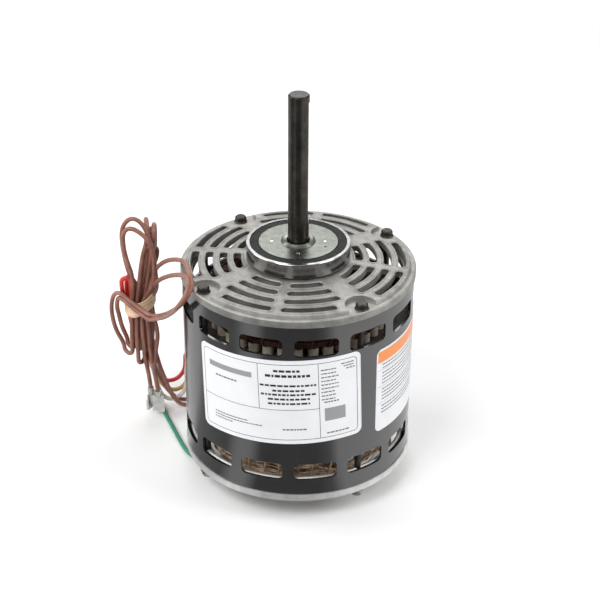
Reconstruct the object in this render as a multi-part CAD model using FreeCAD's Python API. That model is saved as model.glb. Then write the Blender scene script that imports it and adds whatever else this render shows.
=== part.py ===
import FreeCAD, Part
import math
import os

from FreeCAD import Vector

# Direct-drive blower motor, standing on its lower hub ring with the shaft up.
# Millimetres, +Z along the shaft, z = 0 at the face of the lower hub ring.

# Driving dimensions of the motor
SHELL_R = 71.1              # 5.6 in shell, outside radius
SHELL_WALL = 1.6
SHELL_LEN = 117.64
HUB_REACH = 19.66           # hub ring's end face, beyond the end of the shell
SHAFT_R = 6.35              # 1/2 in shaft
SHAFT_TOP = 251.87
SHAFT_BOTTOM = 4.0
SHAFT_CHAMFER = 0.8
GROOVE_H = 22.0             # relief groove where the free length of shaft starts, beyond the shell
GROOVE_WIDTH = 1.2
GROOVE_DEPTH = 0.25
FLAT_START = 170.0          # flat for the wheel's set screw
FLAT_END = 247.4
FLAT_DEPTH = 0.6
BOLT_CIRCLE_R = 66.9
BOLT_ANGLES = (33.5, 123.5, 213.5, 303.5)
STACK_LEN = 57.15           # 2 1/4 in stack of laminations

SHELL_BOTTOM = HUB_REACH
SHELL_TOP = SHELL_BOTTOM + SHELL_LEN
SHELL_MID = SHELL_BOTTOM + SHELL_LEN / 2
SHELL_INNER_R = SHELL_R - SHELL_WALL
STACK_BOTTOM = SHELL_MID - STACK_LEN / 2
STACK_TOP = SHELL_MID + STACK_LEN / 2

# Vents in the shell: an even row with one wide gap at the rolled seam
VENT_PITCH = 27.0
VENT_FIRST = -162.0
VENT_COUNT = 13
VENT_WIDTH = 26.2
VENT_HEIGHT = 11.4
VENT_CORNER = 3.0
UPPER_VENT_Z = SHELL_BOTTOM + 103.4
LOWER_VENT_Z = SHELL_BOTTOM + 16.6
LEAD_EXIT_ANGLE = 144.0     # the lead exit takes the place of one lower vent
LEAD_HOLE_R = 5.2

# End shield, measured outwards from the end of the shell
RIM_R = 71.84
PAD_H = 4.7                 # bolt pads and rim
EDGE_H = 6.75               # crowned plate at its outer edge
CROWN_H = 8.96              # crowned plate beside the hub
EDGE_R = 68.3
CROWN_R = 34.0
SPIGOT_DEPTH = 3.5
BOSS_R = 24.0
BOSS_H = 18.75
BOSS_BORE_R = 20.0
SEAT_FLOOR_H = 1.6
HUB_FLOOR_H = -2.0
SHAFT_HOLE_R = 7.6
SLOT_ROWS = ((37.0, 35.0), (45.6, 37.2), (54.4, 38.2), (63.2, 32.5))   # centre radius, half angle
SLOT_WIDTH = 5.2
RIB_WIDTH = 3.2
POCKET_R = 9.6

# Bearing and what seats it, measured like the end shield
BALL_R = 11.0
BALL_H = 7.0
BEARING_HALF = 8.2
BEARING_BORE_R = 6.39
RETAINER_H = 13.0
RETAINER_T = 0.8

# Hub ring: a rubber ring in a steel band
BAND_R = 31.75              # 2 1/2 in mounting ring
BAND_START_H = 10.43
BAND_END_H = HUB_REACH
BAND_WALL = 0.85
LIP_T = 0.66
LIP_R = 29.6
CAP_T = 0.9
COLLAR_R = 10.6
COLLAR_HOLE_R = 7.1
COLLAR_H = 21.5

# Stator, windings and rotor
BORE_R = 38.6
ROTOR_R = 38.1
SLOT_COUNT = 36
SLOT_MOUTH_HALF = 1.1
SLOT_TOP_R = 40.4
SLOT_TOP_HALF = 1.8
SLOT_END_R = 55.6
SLOT_END_HALF = 3.1
LINER_T = 0.45
CUFF = 6.0                  # slot liners stand out of the stack by this much
END_TURN_IN = 41.2
END_TURN_OUT = 57.0
END_TURN_H = 15.5
END_RING_H = 8.0
BLADE_H = 9.0

# Fasteners
BOLT_R = 2.0
BOLT_HOLE_R = 2.3
BOLT_FLANGE_R = 4.3
BOLT_FLANGE_T = 1.0
BOLT_HEX_R = 3.65
BOLT_HEX_H = 3.0
NUT_H = 4.0
NUT_HEX_R = 4.9

# Leads
WIRE_R = 1.45
UP = Vector(0, 0, 1)


def upper(height):
    """Height of a point of the upper end, from its distance beyond the shell."""
    return SHELL_TOP + height


def ring_profile(points):
    """A closed profile of radius and height, turned once round the shaft's line."""
    corners = [Vector(radius, 0, height) for radius, height in points]
    corners.append(corners[0])
    face = Part.Face(Part.makePolygon(corners))
    return face.revolve(Vector(0, 0, 0), UP, 360)


def upper_profile(points):
    """As ring_profile, with heights measured beyond the shell's upper end."""
    return ring_profile([(radius, upper(height)) for radius, height in points])


def to_lower_end(shape):
    """The same piece at the other end: its mirror image in the plane at mid-height."""
    return shape.mirror(Vector(0, 0, SHELL_MID), UP)


def polar(radius, angle, height=0.0):
    turn = math.radians(angle)
    return Vector(radius * math.cos(turn), radius * math.sin(turn), height)


def turned(shape, angle):
    piece = shape.copy()
    piece.rotate(Vector(0, 0, 0), UP, angle)
    return piece


def cylinder(radius, height, base, direction=UP):
    return Part.makeCylinder(radius, height, base, direction)


def hexagon(radius, height, base):
    """A hexagonal prism with its corners at the given radius."""
    corners = [base + polar(radius, 60 * k) for k in range(7)]
    return Part.Face(Part.makePolygon(corners)).extrude(Vector(0, 0, height))


def save(name, shape):
    if shape.ShapeType == "Compound" and len(shape.Solids) == 1:
        shape = shape.Solids[0]
    assert shape.isValid(), name
    shape.exportStep("parts/" + name + ".step")
    print(name, "solids", len(shape.Solids), "volume", round(shape.Volume, 1))


def curved_slot(centre_r, width, start, end, low, high):
    """A slot that follows a circle, with slightly bowed ends."""
    inner = centre_r - width / 2
    outer = centre_r + width / 2
    bow = math.degrees(1.0 / centre_r)
    middle = (start + end) / 2
    outside = Part.Arc(polar(outer, start, low), polar(outer, middle, low), polar(outer, end, low))
    far_end = Part.Arc(polar(outer, end, low), polar(centre_r, end + bow, low), polar(inner, end, low))
    inside = Part.Arc(polar(inner, end, low), polar(inner, middle, low), polar(inner, start, low))
    near_end = Part.Arc(polar(inner, start, low), polar(centre_r, start - bow, low), polar(outer, start, low))
    wire = Part.Wire([edge.toShape() for edge in (outside, far_end, inside, near_end)])
    return Part.Face(wire).extrude(Vector(0, 0, high - low))


def shield_slots():
    """Four sectors of arc slots, each sector split by a radial rib at its middle."""
    cutters = []
    low = upper(0.5)
    high = upper(12.0)
    for bolt_angle in BOLT_ANGLES:
        rib_angle = bolt_angle + 45.0
        for centre_r, half_angle in SLOT_ROWS:
            rib_half = math.degrees((RIB_WIDTH / 2 + 1.0) / centre_r)
            for side in (-1, 1):
                ends = sorted((rib_angle + side * rib_half, rib_angle + side * half_angle))
                cutters.append(curved_slot(centre_r, SLOT_WIDTH, ends[0], ends[1], low, high))
    return cutters


def end_shield():
    """Die-cast end shield of the upper end: rim, crowned plate, hub boss and bearing seat."""
    body = upper_profile((
        (SHAFT_HOLE_R, HUB_FLOOR_H), (17.0, HUB_FLOOR_H), (25.0, 3.0), (CROWN_R, 4.7),
        (64.5, 2.6), (64.5, -SPIGOT_DEPTH), (SHELL_INNER_R, -SPIGOT_DEPTH),
        (SHELL_INNER_R, 0.0), (RIM_R, 0.0), (RIM_R, PAD_H - 0.6), (RIM_R - 0.6, PAD_H),
        (EDGE_R + 0.6, PAD_H), (EDGE_R, EDGE_H - 0.5), (EDGE_R - 0.6, EDGE_H),
        (CROWN_R, CROWN_H), (BOSS_R + 1.2, CROWN_H + 0.5), (BOSS_R, CROWN_H + 1.4),
        (BOSS_R, BOSS_H), (BOSS_BORE_R, BOSS_H), (BOSS_BORE_R, SEAT_FLOOR_H),
        (SHAFT_HOLE_R, SEAT_FLOOR_H)))
    cutters = shield_slots()
    cutters.append(Part.makeSphere(BALL_R, Vector(0, 0, upper(BALL_H))))
    for angle in BOLT_ANGLES:
        cutters.append(bolt_pocket(angle))
        cutters.append(cylinder(BOLT_HOLE_R, 30.0, polar(BOLT_CIRCLE_R, angle, upper(-10.0))))
    return body.cut(cutters)


def bolt_pocket(angle):
    """The low flat round a bolt: a round-ended pocket, open to the rim."""
    floor = upper(PAD_H)
    round_end = cylinder(POCKET_R, 6.0, polar(BOLT_CIRCLE_R - 0.6, angle, floor))
    mouth = Part.makeBox(8.0, 2 * POCKET_R, 6.0, Vector(BOLT_CIRCLE_R - 0.6, -POCKET_R, floor))
    return round_end.fuse(turned(mouth, angle))


def vent(angle, height):
    """A rounded rectangular window, cut square through the shell's wall."""
    half_w = VENT_WIDTH / 2
    half_h = VENT_HEIGHT / 2
    depth = 20.0
    block = Part.makeBox(depth, VENT_WIDTH, VENT_HEIGHT, Vector(SHELL_R - 12.0, -half_w, height - half_h))
    along = [edge for edge in block.Edges if abs(edge.tangentAt(edge.FirstParameter).x) > 0.9]
    return turned(block.makeFillet(VENT_CORNER, along), angle)


def shell():
    """Rolled steel shell with two rows of vents and the hole for the leads."""
    tube = ring_profile((
        (SHELL_INNER_R, SHELL_BOTTOM), (SHELL_R, SHELL_BOTTOM),
        (SHELL_R, SHELL_TOP), (SHELL_INNER_R, SHELL_TOP)))
    cutters = [cylinder(LEAD_HOLE_R, 20.0, polar(SHELL_R - 10.0, LEAD_EXIT_ANGLE, LOWER_VENT_Z),
                        polar(1.0, LEAD_EXIT_ANGLE))]
    for k in range(VENT_COUNT):
        angle = VENT_FIRST + k * VENT_PITCH
        cutters.append(vent(angle, UPPER_VENT_Z))
        if abs(angle - LEAD_EXIT_ANGLE) > 1.0:
            cutters.append(vent(angle, LOWER_VENT_Z))
    return tube.cut(cutters)


def slot_face(inset, mouth_r, low):
    """Outline of one stator slot on the X axis: mouth, straight flanks and a round bottom."""
    top = SLOT_TOP_HALF - inset
    end = SLOT_END_HALF - inset
    mouth = SLOT_MOUTH_HALF - inset
    left = [Vector(mouth_r, mouth, low), Vector(SLOT_TOP_R - 0.9, mouth, low),
            Vector(SLOT_TOP_R, top, low), Vector(SLOT_END_R - end, end, low)]
    right = [Vector(point.x, -point.y, low) for point in reversed(left)]
    bottom = Part.Arc(left[-1], Vector(SLOT_END_R - inset, 0, low), right[0]).toShape()
    sides = [Part.makePolygon(left), bottom, Part.makePolygon(right), Part.makeLine(right[-1], left[0])]
    edges = [edge for side in sides for edge in side.Edges]
    return Part.Face(Part.Wire(edges))


def slot_copies(piece):
    return [turned(piece, k * 360.0 / SLOT_COUNT) for k in range(SLOT_COUNT)]


def stator_core():
    """Stack of laminations: slots round the bore, and notches that clear the through bolts."""
    core = ring_profile((
        (BORE_R, STACK_BOTTOM), (SHELL_INNER_R, STACK_BOTTOM),
        (SHELL_INNER_R, STACK_TOP), (BORE_R, STACK_TOP)))
    slot = slot_face(0.0, BORE_R - 2.0, STACK_BOTTOM - 1.0).extrude(Vector(0, 0, STACK_LEN + 2.0))
    cutters = slot_copies(slot)
    for angle in BOLT_ANGLES:
        notch = cylinder(BOLT_R + 0.8, STACK_LEN + 2.0, polar(BOLT_CIRCLE_R, angle, STACK_BOTTOM - 1.0))
        cutters.append(notch)
    return core.cut(cutters)


def slot_liners():
    """Slot liners: thin U channels with cuffs that stand out of the stack at both ends."""
    low = STACK_BOTTOM - CUFF
    length = STACK_LEN + 2 * CUFF
    outline = slot_face(0.0, SLOT_TOP_R - 0.7, low).extrude(Vector(0, 0, length))
    hollow = slot_face(LINER_T, SLOT_TOP_R - 4.0, low - 1.0).extrude(Vector(0, 0, length + 2.0))
    liner = outline.cut(hollow)
    return Part.makeCompound(slot_copies(liner))


def end_turns(base, height):
    """Profile of the bundle of end turns: a rounded ring above the slots."""
    inner = END_TURN_IN
    outer = END_TURN_OUT
    return ring_profile((
        (inner + 1.0, base), (outer - 3.0, base), (outer - 0.6, base + 0.2 * height),
        (outer, base + 0.5 * height), (outer - 1.6, base + 0.82 * height), (outer - 5.0, base + height),
        (inner + 4.5, base + height), (inner + 1.2, base + 0.8 * height), (inner, base + 0.45 * height)))


def stator_winding():
    """Coil sides in the slots, and the end turns that join them at both ends."""
    low = STACK_BOTTOM - CUFF - 1.0
    side = slot_face(LINER_T + 0.05, SLOT_TOP_R - 0.6, low).extrude(Vector(0, 0, STACK_LEN + 2 * CUFF + 2.0))
    upper_turns = end_turns(STACK_TOP + CUFF, END_TURN_H)
    lower_turns = to_lower_end(upper_turns)
    return upper_turns.multiFuse([lower_turns] + slot_copies(side)).removeSplitter()


def bearing():
    """Sleeve bearing with a ball-shaped outside, so that it lines itself up."""
    ball = Part.makeSphere(BALL_R, Vector(0, 0, upper(BALL_H)))
    slab = cylinder(BALL_R + 1.0, 2 * BEARING_HALF, Vector(0, 0, upper(BALL_H - BEARING_HALF)))
    bore = cylinder(BEARING_BORE_R, 40.0, Vector(0, 0, upper(BALL_H - 20.0)))
    return ball.common(slab).cut(bore)


def bearing_retainer():
    """Spring washer pressed into the boss, with fingers that hold the bearing in its seat."""
    disc = cylinder(BOSS_BORE_R, RETAINER_T, Vector(0, 0, upper(RETAINER_H)))
    cutters = [Part.makeSphere(BALL_R, Vector(0, 0, upper(BALL_H)))]
    for k in range(6):
        gap = Part.makeBox(6.5, 2.4, 3.0, Vector(8.0, -1.2, upper(RETAINER_H) - 1.0))
        cutters.append(turned(gap, 60 * k))
    return disc.cut(cutters)


def oil_wick():
    """Felt ring that holds the oil round the bearing."""
    return upper_profile((
        (BALL_R + 0.05, SEAT_FLOOR_H), (BOSS_BORE_R, SEAT_FLOOR_H),
        (BOSS_BORE_R, RETAINER_H - 0.2), (BALL_R + 0.05, RETAINER_H - 0.2)))


def upper_hub_cap():
    """Stamped cap over the boss: flat disc, raised collar round the shaft, tool holes."""
    base = BOSS_H
    top = BOSS_H + CAP_T
    body = upper_profile((
        (COLLAR_R + 1.0, base), (BOSS_R, base), (BOSS_R, top), (COLLAR_R, top),
        (COLLAR_R - 0.4, COLLAR_H - 0.9), (COLLAR_R - 1.5, COLLAR_H), (COLLAR_HOLE_R, COLLAR_H - 0.5),
        (COLLAR_HOLE_R, COLLAR_H - 1.4), (COLLAR_R - 1.8, COLLAR_H - 1.0)))
    cutters = []
    for k in range(4):
        square = Part.makeBox(2.0, 2.0, 4.0, Vector(15.2, -1.0, upper(base - 1.0)))
        cutters.append(turned(square, 90 * k))
    cutters.append(cylinder(0.7, 4.0, polar(18.0, -24.5, upper(base - 1.0))))
    return body.cut(cutters)


def lower_hub_cap():
    """Plain stamped cap that closes the other boss."""
    base = BOSS_H
    return to_lower_end(upper_profile((
        (0.0, base - 2.4), (15.0, base - 2.4), (16.2, base), (BOSS_R, base),
        (BOSS_R, base + 0.7), (15.6, base + 0.7), (14.4, base - 1.5), (0.0, base - 1.5))))


def mount_rubber():
    """Rubber ring between the boss and the steel band."""
    low = BAND_START_H + LIP_T
    high = BAND_END_H - LIP_T
    return upper_profile((
        (BOSS_R, low), (BAND_R - BAND_WALL, low), (BAND_R - BAND_WALL, high), (LIP_R, high),
        (LIP_R - 0.4, high + 0.5), (BOSS_R + 0.5, high + 0.5), (BOSS_R, high + 0.1)))


def mount_band():
    """Steel band that grips the rubber, with a lip turned in at each edge."""
    low = BAND_START_H
    high = BAND_END_H
    wall = BAND_R - BAND_WALL
    return upper_profile((
        (LIP_R, low), (BAND_R - 0.3, low), (BAND_R, low + 0.3), (BAND_R, high - 0.3),
        (BAND_R - 0.3, high), (LIP_R, high), (LIP_R, high - LIP_T), (wall, high - LIP_T),
        (wall, low + LIP_T), (LIP_R, low + LIP_T)))


def through_bolts():
    """Four long bolts with flanged hexagon heads on the upper shield's pads."""
    head_base = upper(PAD_H)
    shank_bottom = SHELL_BOTTOM - PAD_H - NUT_H - 1.5
    bolts = []
    for angle in BOLT_ANGLES:
        foot = polar(BOLT_CIRCLE_R, angle)
        shank = cylinder(BOLT_R, head_base - shank_bottom, foot + Vector(0, 0, shank_bottom))
        flange = Part.makeCone(BOLT_FLANGE_R, BOLT_FLANGE_R - 0.5, BOLT_FLANGE_T,
                               foot + Vector(0, 0, head_base))
        hexagon_head = hexagon(BOLT_HEX_R, BOLT_HEX_H, foot + Vector(0, 0, head_base + BOLT_FLANGE_T))
        crown = Part.makeCone(BOLT_HEX_R + 1.9, BOLT_HEX_R - 0.9, 3.0,
                              foot + Vector(0, 0, head_base + BOLT_FLANGE_T))
        bolts.append(shank.multiFuse([flange, hexagon_head.common(crown)]).removeSplitter())
    return Part.makeCompound(bolts)


def bolt_nuts():
    """Flanged nuts under the lower shield's pads."""
    top = SHELL_BOTTOM - PAD_H
    nuts = []
    for angle in BOLT_ANGLES:
        foot = polar(BOLT_CIRCLE_R, angle)
        body = hexagon(NUT_HEX_R - 0.6, NUT_H - 1.0, foot + Vector(0, 0, top - NUT_H))
        washer = cylinder(NUT_HEX_R, 1.0, foot + Vector(0, 0, top - 1.0))
        hole = cylinder(BOLT_R, NUT_H + 2.0, foot + Vector(0, 0, top - NUT_H - 1.0))
        nuts.append(body.fuse(washer).cut(hole).removeSplitter())
    return Part.makeCompound(nuts)


def shaft():
    """Ground shaft with chamfered ends, a relief groove and a flat for the wheel's set screw."""
    inner = SHAFT_R - SHAFT_CHAMFER
    groove = upper(GROOVE_H)
    rod = ring_profile((
        (0.0, SHAFT_BOTTOM), (inner, SHAFT_BOTTOM), (SHAFT_R, SHAFT_BOTTOM + SHAFT_CHAMFER),
        (SHAFT_R, groove), (SHAFT_R - GROOVE_DEPTH, groove),
        (SHAFT_R - GROOVE_DEPTH, groove + GROOVE_WIDTH), (SHAFT_R, groove + GROOVE_WIDTH),
        (SHAFT_R, SHAFT_TOP - SHAFT_CHAMFER), (inner, SHAFT_TOP), (0.0, SHAFT_TOP)))
    flat = Part.makeBox(4.0, 20.0, FLAT_END - FLAT_START, Vector(SHAFT_R - FLAT_DEPTH, -10.0, FLAT_START))
    return rod.cut(flat)


def rotor_core():
    return ring_profile((
        (SHAFT_R, STACK_BOTTOM), (ROTOR_R, STACK_BOTTOM), (ROTOR_R, STACK_TOP), (SHAFT_R, STACK_TOP)))


def rotor_ring():
    """Cast end ring of the rotor cage, with small fan blades."""
    base = STACK_TOP
    ring = ring_profile((
        (24.0, base), (36.5, base), (36.5, base + END_RING_H - 1.0), (35.5, base + END_RING_H),
        (25.0, base + END_RING_H), (24.0, base + END_RING_H - 1.0)))
    blades = []
    for k in range(8):
        blade = Part.makeBox(9.5, 2.4, BLADE_H, Vector(26.0, -1.2, base + END_RING_H - 0.5))
        blades.append(turned(blade, 45 * k))
    return ring.multiFuse(blades).removeSplitter()


def thrust_collar():
    """Steel collar pressed on the shaft, above the rotor."""
    return ring_profile((
        (SHAFT_R, STACK_TOP), (11.0, STACK_TOP), (11.0, upper(-12.0)), (9.4, upper(-9.0)),
        (9.4, upper(-4.4)), (SHAFT_R, upper(-4.4))))


def thrust_washer():
    """Plastic washer that takes the end thrust against the bearing."""
    return upper_profile(((SHAFT_R, -4.4), (10.2, -4.4), (10.2, -2.8), (SHAFT_R, -2.8)))


def thermal_protector():
    """Flat protector tied on the lower end turns, next to the lead exit."""
    top = STACK_BOTTOM - CUFF - END_TURN_H
    block = Part.makeBox(9.0, 17.0, 5.0, Vector(44.5, -8.5, top - 5.0))
    along = [edge for edge in block.Edges if abs(edge.tangentAt(edge.FirstParameter).y) > 0.9]
    return turned(block.makeFillet(1.2, along), LEAD_EXIT_ANGLE)


def lead_grommet():
    """Rubber grommet in the shell: flange inside, flange and short snout outside."""
    radii = (
        (4.05, -3.2), (7.2, -3.2), (7.2, -SHELL_WALL - 0.1), (LEAD_HOLE_R, -SHELL_WALL - 0.1),
        (LEAD_HOLE_R, 0.3), (7.4, 0.3), (7.4, 1.8), (5.6, 2.8), (5.0, 5.4), (4.05, 5.4))
    corners = [Vector(radius, 0, height) for radius, height in radii]
    corners.append(corners[0])
    piece = Part.Face(Part.makePolygon(corners)).revolve(Vector(0, 0, 0), UP, 360)
    piece.rotate(Vector(0, 0, 0), Vector(0, 1, 0), 90)
    piece.translate(Vector(SHELL_R, 0, LOWER_VENT_Z))
    clear = SHELL_R + 0.35
    saddle = cylinder(clear, 30.0, Vector(0, 0, LOWER_VENT_Z - 15.0))
    inner = cylinder(SHELL_INNER_R - 0.05, 30.0, Vector(0, 0, LOWER_VENT_Z - 15.0))
    neck = cylinder(LEAD_HOLE_R, 40.0, Vector(50.0, 0, LOWER_VENT_Z), Vector(1, 0, 0))
    wall = saddle.cut(inner).cut(neck)
    return turned(piece.cut(wall), LEAD_EXIT_ANGLE)


# Ground screw and its ring terminal, on a spoke of the lower shield
GROUND_ANGLE = 213.5
GROUND_R = 55.0
TAB_T = 0.8
PLATE_FACE = SHELL_BOTTOM - EDGE_H - (CROWN_H - EDGE_H) * (EDGE_R - GROUND_R) / (EDGE_R - CROWN_R)
GROUND_LEAD_END = Vector(-59.5, -20.0, 9.2)


def ground_seat():
    return polar(GROUND_R, GROUND_ANGLE, PLATE_FACE - 0.25)


def ground_screw():
    """Screw with a flanged hexagon head, driven up into the lower shield."""
    seat = ground_seat() - Vector(0, 0, TAB_T)
    stem = cylinder(1.9, TAB_T + 4.0, seat)
    flange = cylinder(4.0, 1.0, seat - Vector(0, 0, 1.0))
    head = hexagon(3.6, 2.4, seat - Vector(0, 0, 3.4))
    return stem.multiFuse([flange, head]).removeSplitter()


def ground_terminal():
    """Ring terminal: ring under the screw, neck, and barrel on the green lead."""
    seat = ground_seat()
    along = Vector(GROUND_LEAD_END.x - seat.x, GROUND_LEAD_END.y - seat.y, 0).normalize()
    reach = math.hypot(GROUND_LEAD_END.x - seat.x, GROUND_LEAD_END.y - seat.y)
    ring = cylinder(4.2, TAB_T, seat - Vector(0, 0, TAB_T))
    neck = Part.makeBox(reach - 6.0, 3.6, TAB_T, Vector(1.0, -1.8, -TAB_T))
    neck.rotate(Vector(0, 0, 0), UP, math.degrees(math.atan2(along.y, along.x)))
    neck.translate(seat)
    barrel = cylinder(2.1, 8.0, GROUND_LEAD_END - along * 8.0, along)
    hole = cylinder(2.1, 6.0, seat - Vector(0, 0, 3.0))
    return ring.multiFuse([neck, barrel]).cut(hole).removeSplitter()


# Routes of the leads where they aren't in the hank, in millimetres
ROUTE_BROWN_1 = ((-62.8, 43.8, 34.2), (-67.8, 47.4, 34.0), (-70.9, 51.8, 30.6), (-70.6, 55.8, 24.4),
                 (-67.8, 58.0, 18.0), (-64.6, 59.0, 11.6), (-66.8, 57.8, 5.1), (-72.6, 55.3, 2.2),
                 (-78.9, 52.6, 3.6), (-83.0, 50.8, 8.9), (-86.2, 49.2, 16.6), (-89.0, 48.2, 26.4),
                 (-92.2, 48.0, 37.0), (-94.6, 48.8, 48.0))
ROUTE_BROWN_2 = ((-61.0, 46.2, 34.2), (-65.4, 49.6, 34.0), (-68.0, 54.6, 31.8), (-68.2, 59.6, 26.8),
                 (-66.6, 62.8, 19.8), (-65.6, 63.8, 12.0), (-68.4, 63.0, 5.7), (-74.3, 61.4, 2.4),
                 (-80.7, 59.4, 3.6), (-85.4, 57.8, 8.4), (-89.6, 56.4, 15.2), (-93.2, 55.4, 23.6),
                 (-96.2, 54.8, 33.2), (-98.0, 54.4, 43.4))
ROUTE_WHITE = ((-63.3, 43.0, 37.1), (-68.4, 46.6, 37.8), (-73.0, 50.8, 36.6), (-75.4, 54.8, 31.6),
               (-75.4, 57.2, 25.4), (-75.4, 58.2, 18.4), (-77.0, 57.4, 12.2), (-81.4, 55.0, 8.2),
               (-87.0, 52.9, 7.8), (-91.6, 51.8, 11.4), (-94.0, 51.0, 17.4), (-95.4, 50.8, 24.2),
               (-96.8, 50.8, 31.4), (-98.2, 50.8, 38.4), (-99.2, 50.8, 44.0))
ROUTE_YELLOW = ((-60.5, 47.0, 37.1), (-64.8, 50.2, 38.0), (-69.2, 54.2, 38.4), (-73.4, 58.8, 36.4),
                (-75.6, 62.8, 31.0), (-75.6, 64.8, 24.0), (-75.2, 64.6, 17.0), (-78.6, 63.6, 11.2),
                (-84.6, 61.8, 9.4), (-90.0, 60.2, 12.6), (-94.0, 59.2, 18.6), (-96.8, 58.6, 27.0),
                (-99.2, 58.0, 36.4), (-101.4, 57.4, 46.4))
ROUTE_RED = ((-61.9, 45.0, 38.9), (-66.4, 48.5, 40.4), (-70.8, 53.0, 42.2), (-74.6, 58.2, 41.2),
             (-76.6, 63.6, 36.6), (-76.8, 67.6, 29.6), (-77.6, 69.2, 21.6), (-81.8, 68.4, 15.4),
             (-88.2, 66.8, 13.6), (-94.0, 65.0, 17.2), (-98.2, 63.8, 24.2), (-101.2, 63.0, 32.4),
             (-103.6, 61.8, 40.4), (-104.8, 59.4, 48.0))
ROUTE_LOOP_1 = ((-96.0, 49.0, 106.0), (-89.5, 41.0, 117.5), (-82.5, 25.5, 131.0), (-75.5, 9.0, 142.5),
                (-67.5, -7.0, 148.0), (-63.0, -21.5, 147.8), (-67.2, -34.6, 140.5),
                (-72.4, -32.0, 127.0), (-75.0, -19.0, 116.5), (-79.0, -4.0, 107.5),
                (-85.0, 11.0, 99.5), (-91.5, 24.0, 91.5), (-97.5, 33.5, 88.5), (-104.5, 38.6, 90.0),
                (-111.6, 41.0, 92.5), (-116.0, 47.0, 93.5))
ROUTE_LOOP_2 = ((-96.5, 49.0, 97.0), (-90.5, 38.5, 106.0), (-84.0, 22.0, 120.0), (-79.0, 5.0, 135.0),
                (-73.5, -10.5, 147.5), (-66.8, -24.5, 148.0), (-71.6, -38.0, 140.0),
                (-77.4, -34.5, 126.5), (-80.2, -20.0, 114.0), (-84.2, -4.0, 104.0),
                (-89.6, 12.0, 95.0), (-95.0, 25.0, 86.5), (-100.5, 34.0, 83.8), (-107.5, 38.8, 84.6),
                (-113.6, 42.6, 86.6), (-116.4, 49.0, 87.6))
ROUTE_TAIL_1 = ((-102.2, 45.4, 48.0), (-100.4, 45.0, 38.5), (-99.4, 46.0, 29.0), (-99.0, 47.2, 21.5))
ROUTE_TAIL_2 = ((-98.2, 44.8, 49.0), (-95.8, 43.8, 39.0), (-94.8, 43.6, 29.0), (-94.0, 44.2, 20.5))
ROUTE_GREEN = ((-93.4, 60.0, 1.6), (-91.6, 51.0, 1.6), (-87.6, 39.0, 1.6), (-82.4, 26.0, 1.6),
               (-78.0, 14.0, 1.6), (-73.6, 3.0, 1.8), (-68.6, -6.6, 3.4), (-64.0, -13.6, 6.6),
               (-59.5, -20.0, 9.2))

# Outer shape of the hank: centre x, centre y, height, half width, half depth
HANK_SECTIONS = ((-101.5, 52.0, 38.5, 6.0, 6.5), (-102.5, 52.0, 46.0, 9.8, 9.2),
                 (-105.0, 51.5, 60.0, 11.6, 9.0), (-105.5, 51.0, 76.0, 9.6, 8.4),
                 (-103.5, 50.5, 89.0, 8.6, 8.0), (-101.0, 50.5, 106.0, 9.8, 8.0),
                 (-101.5, 50.5, 124.0, 11.0, 7.4), (-100.5, 50.5, 139.0, 9.4, 6.0),
                 (-98.0, 50.5, 148.0, 4.6, 3.6))
TIE_LOW = 83.0
TIE_HIGH = 94.0
TIE_T = 1.3


def wire_tube(route, name):
    """A lead: straight runs joined by arcs that are as large as the runs allow."""
    points = [Vector(*point) for point in route]
    edges = []
    tightest = 1e9
    length = 0.0
    start = points[0]
    for before, corner, after in zip(points, points[1:], points[2:]):
        arrive = corner - before
        leave = after - corner
        short_run = min(arrive.Length, leave.Length)
        half_turn = arrive.getAngle(leave) / 2
        tightest = min(tightest, 0.45 * short_run / math.tan(half_turn))
        way_in = Vector(arrive).normalize()
        way_out = Vector(leave).normalize()
        arc_start = corner - way_in * 0.45 * short_run
        arc_end = corner + way_out * 0.45 * short_run
        radius = 0.45 * short_run / math.tan(half_turn)
        towards = Vector(way_out - way_in).normalize()
        centre = corner + towards * (radius / math.cos(half_turn))
        arc_middle = centre - towards * radius
        edges.append(Part.LineSegment(start, arc_start).toShape())
        edges.append(Part.Arc(arc_start, arc_middle, arc_end).toShape())
        length += (arc_start - start).Length + 2 * half_turn * radius
        start = arc_end
    edges.append(Part.LineSegment(start, points[-1]).toShape())
    length += (points[-1] - start).Length
    path = Part.Wire(edges)
    heading = points[1] - points[0]
    section = Part.Wire([Part.makeCircle(WIRE_R, points[0], heading)])
    tube = path.makePipeShell([section], True, False)
    expected = math.pi * WIRE_R ** 2 * length
    print(name, "length", round(length, 1), "tightest radius", round(tightest, 1),
          "volume over section times length", round(tube.Volume / expected, 4))
    return tube


def ellipse_wire(centre_x, centre_y, height, half_width, half_depth):
    corners = []
    for k in range(13):
        turn = 2 * math.pi * k / 12
        corners.append(Vector(centre_x + half_width * math.cos(turn),
                              centre_y + half_depth * math.sin(turn), height))
    return Part.makePolygon(corners)


def lead_hank():
    """The folded bundle of leads as one closed solid of its outer shape."""
    return Part.makeLoft([ellipse_wire(*section) for section in HANK_SECTIONS], True, True)


def tie_band():
    """Rubber band wound round the hank."""
    centre_x = -103.4
    centre_y = 50.6
    outer = Part.Ellipse(Vector(centre_x, centre_y, TIE_LOW), 10.3, 9.6).toShape()
    inner = Part.Ellipse(Vector(centre_x, centre_y, TIE_LOW), 10.3 - TIE_T, 9.6 - TIE_T).toShape()
    height = Vector(0, 0, TIE_HIGH - TIE_LOW)
    return Part.Face(Part.Wire(outer)).extrude(height).cut(Part.Face(Part.Wire(inner)).extrude(height))


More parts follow.
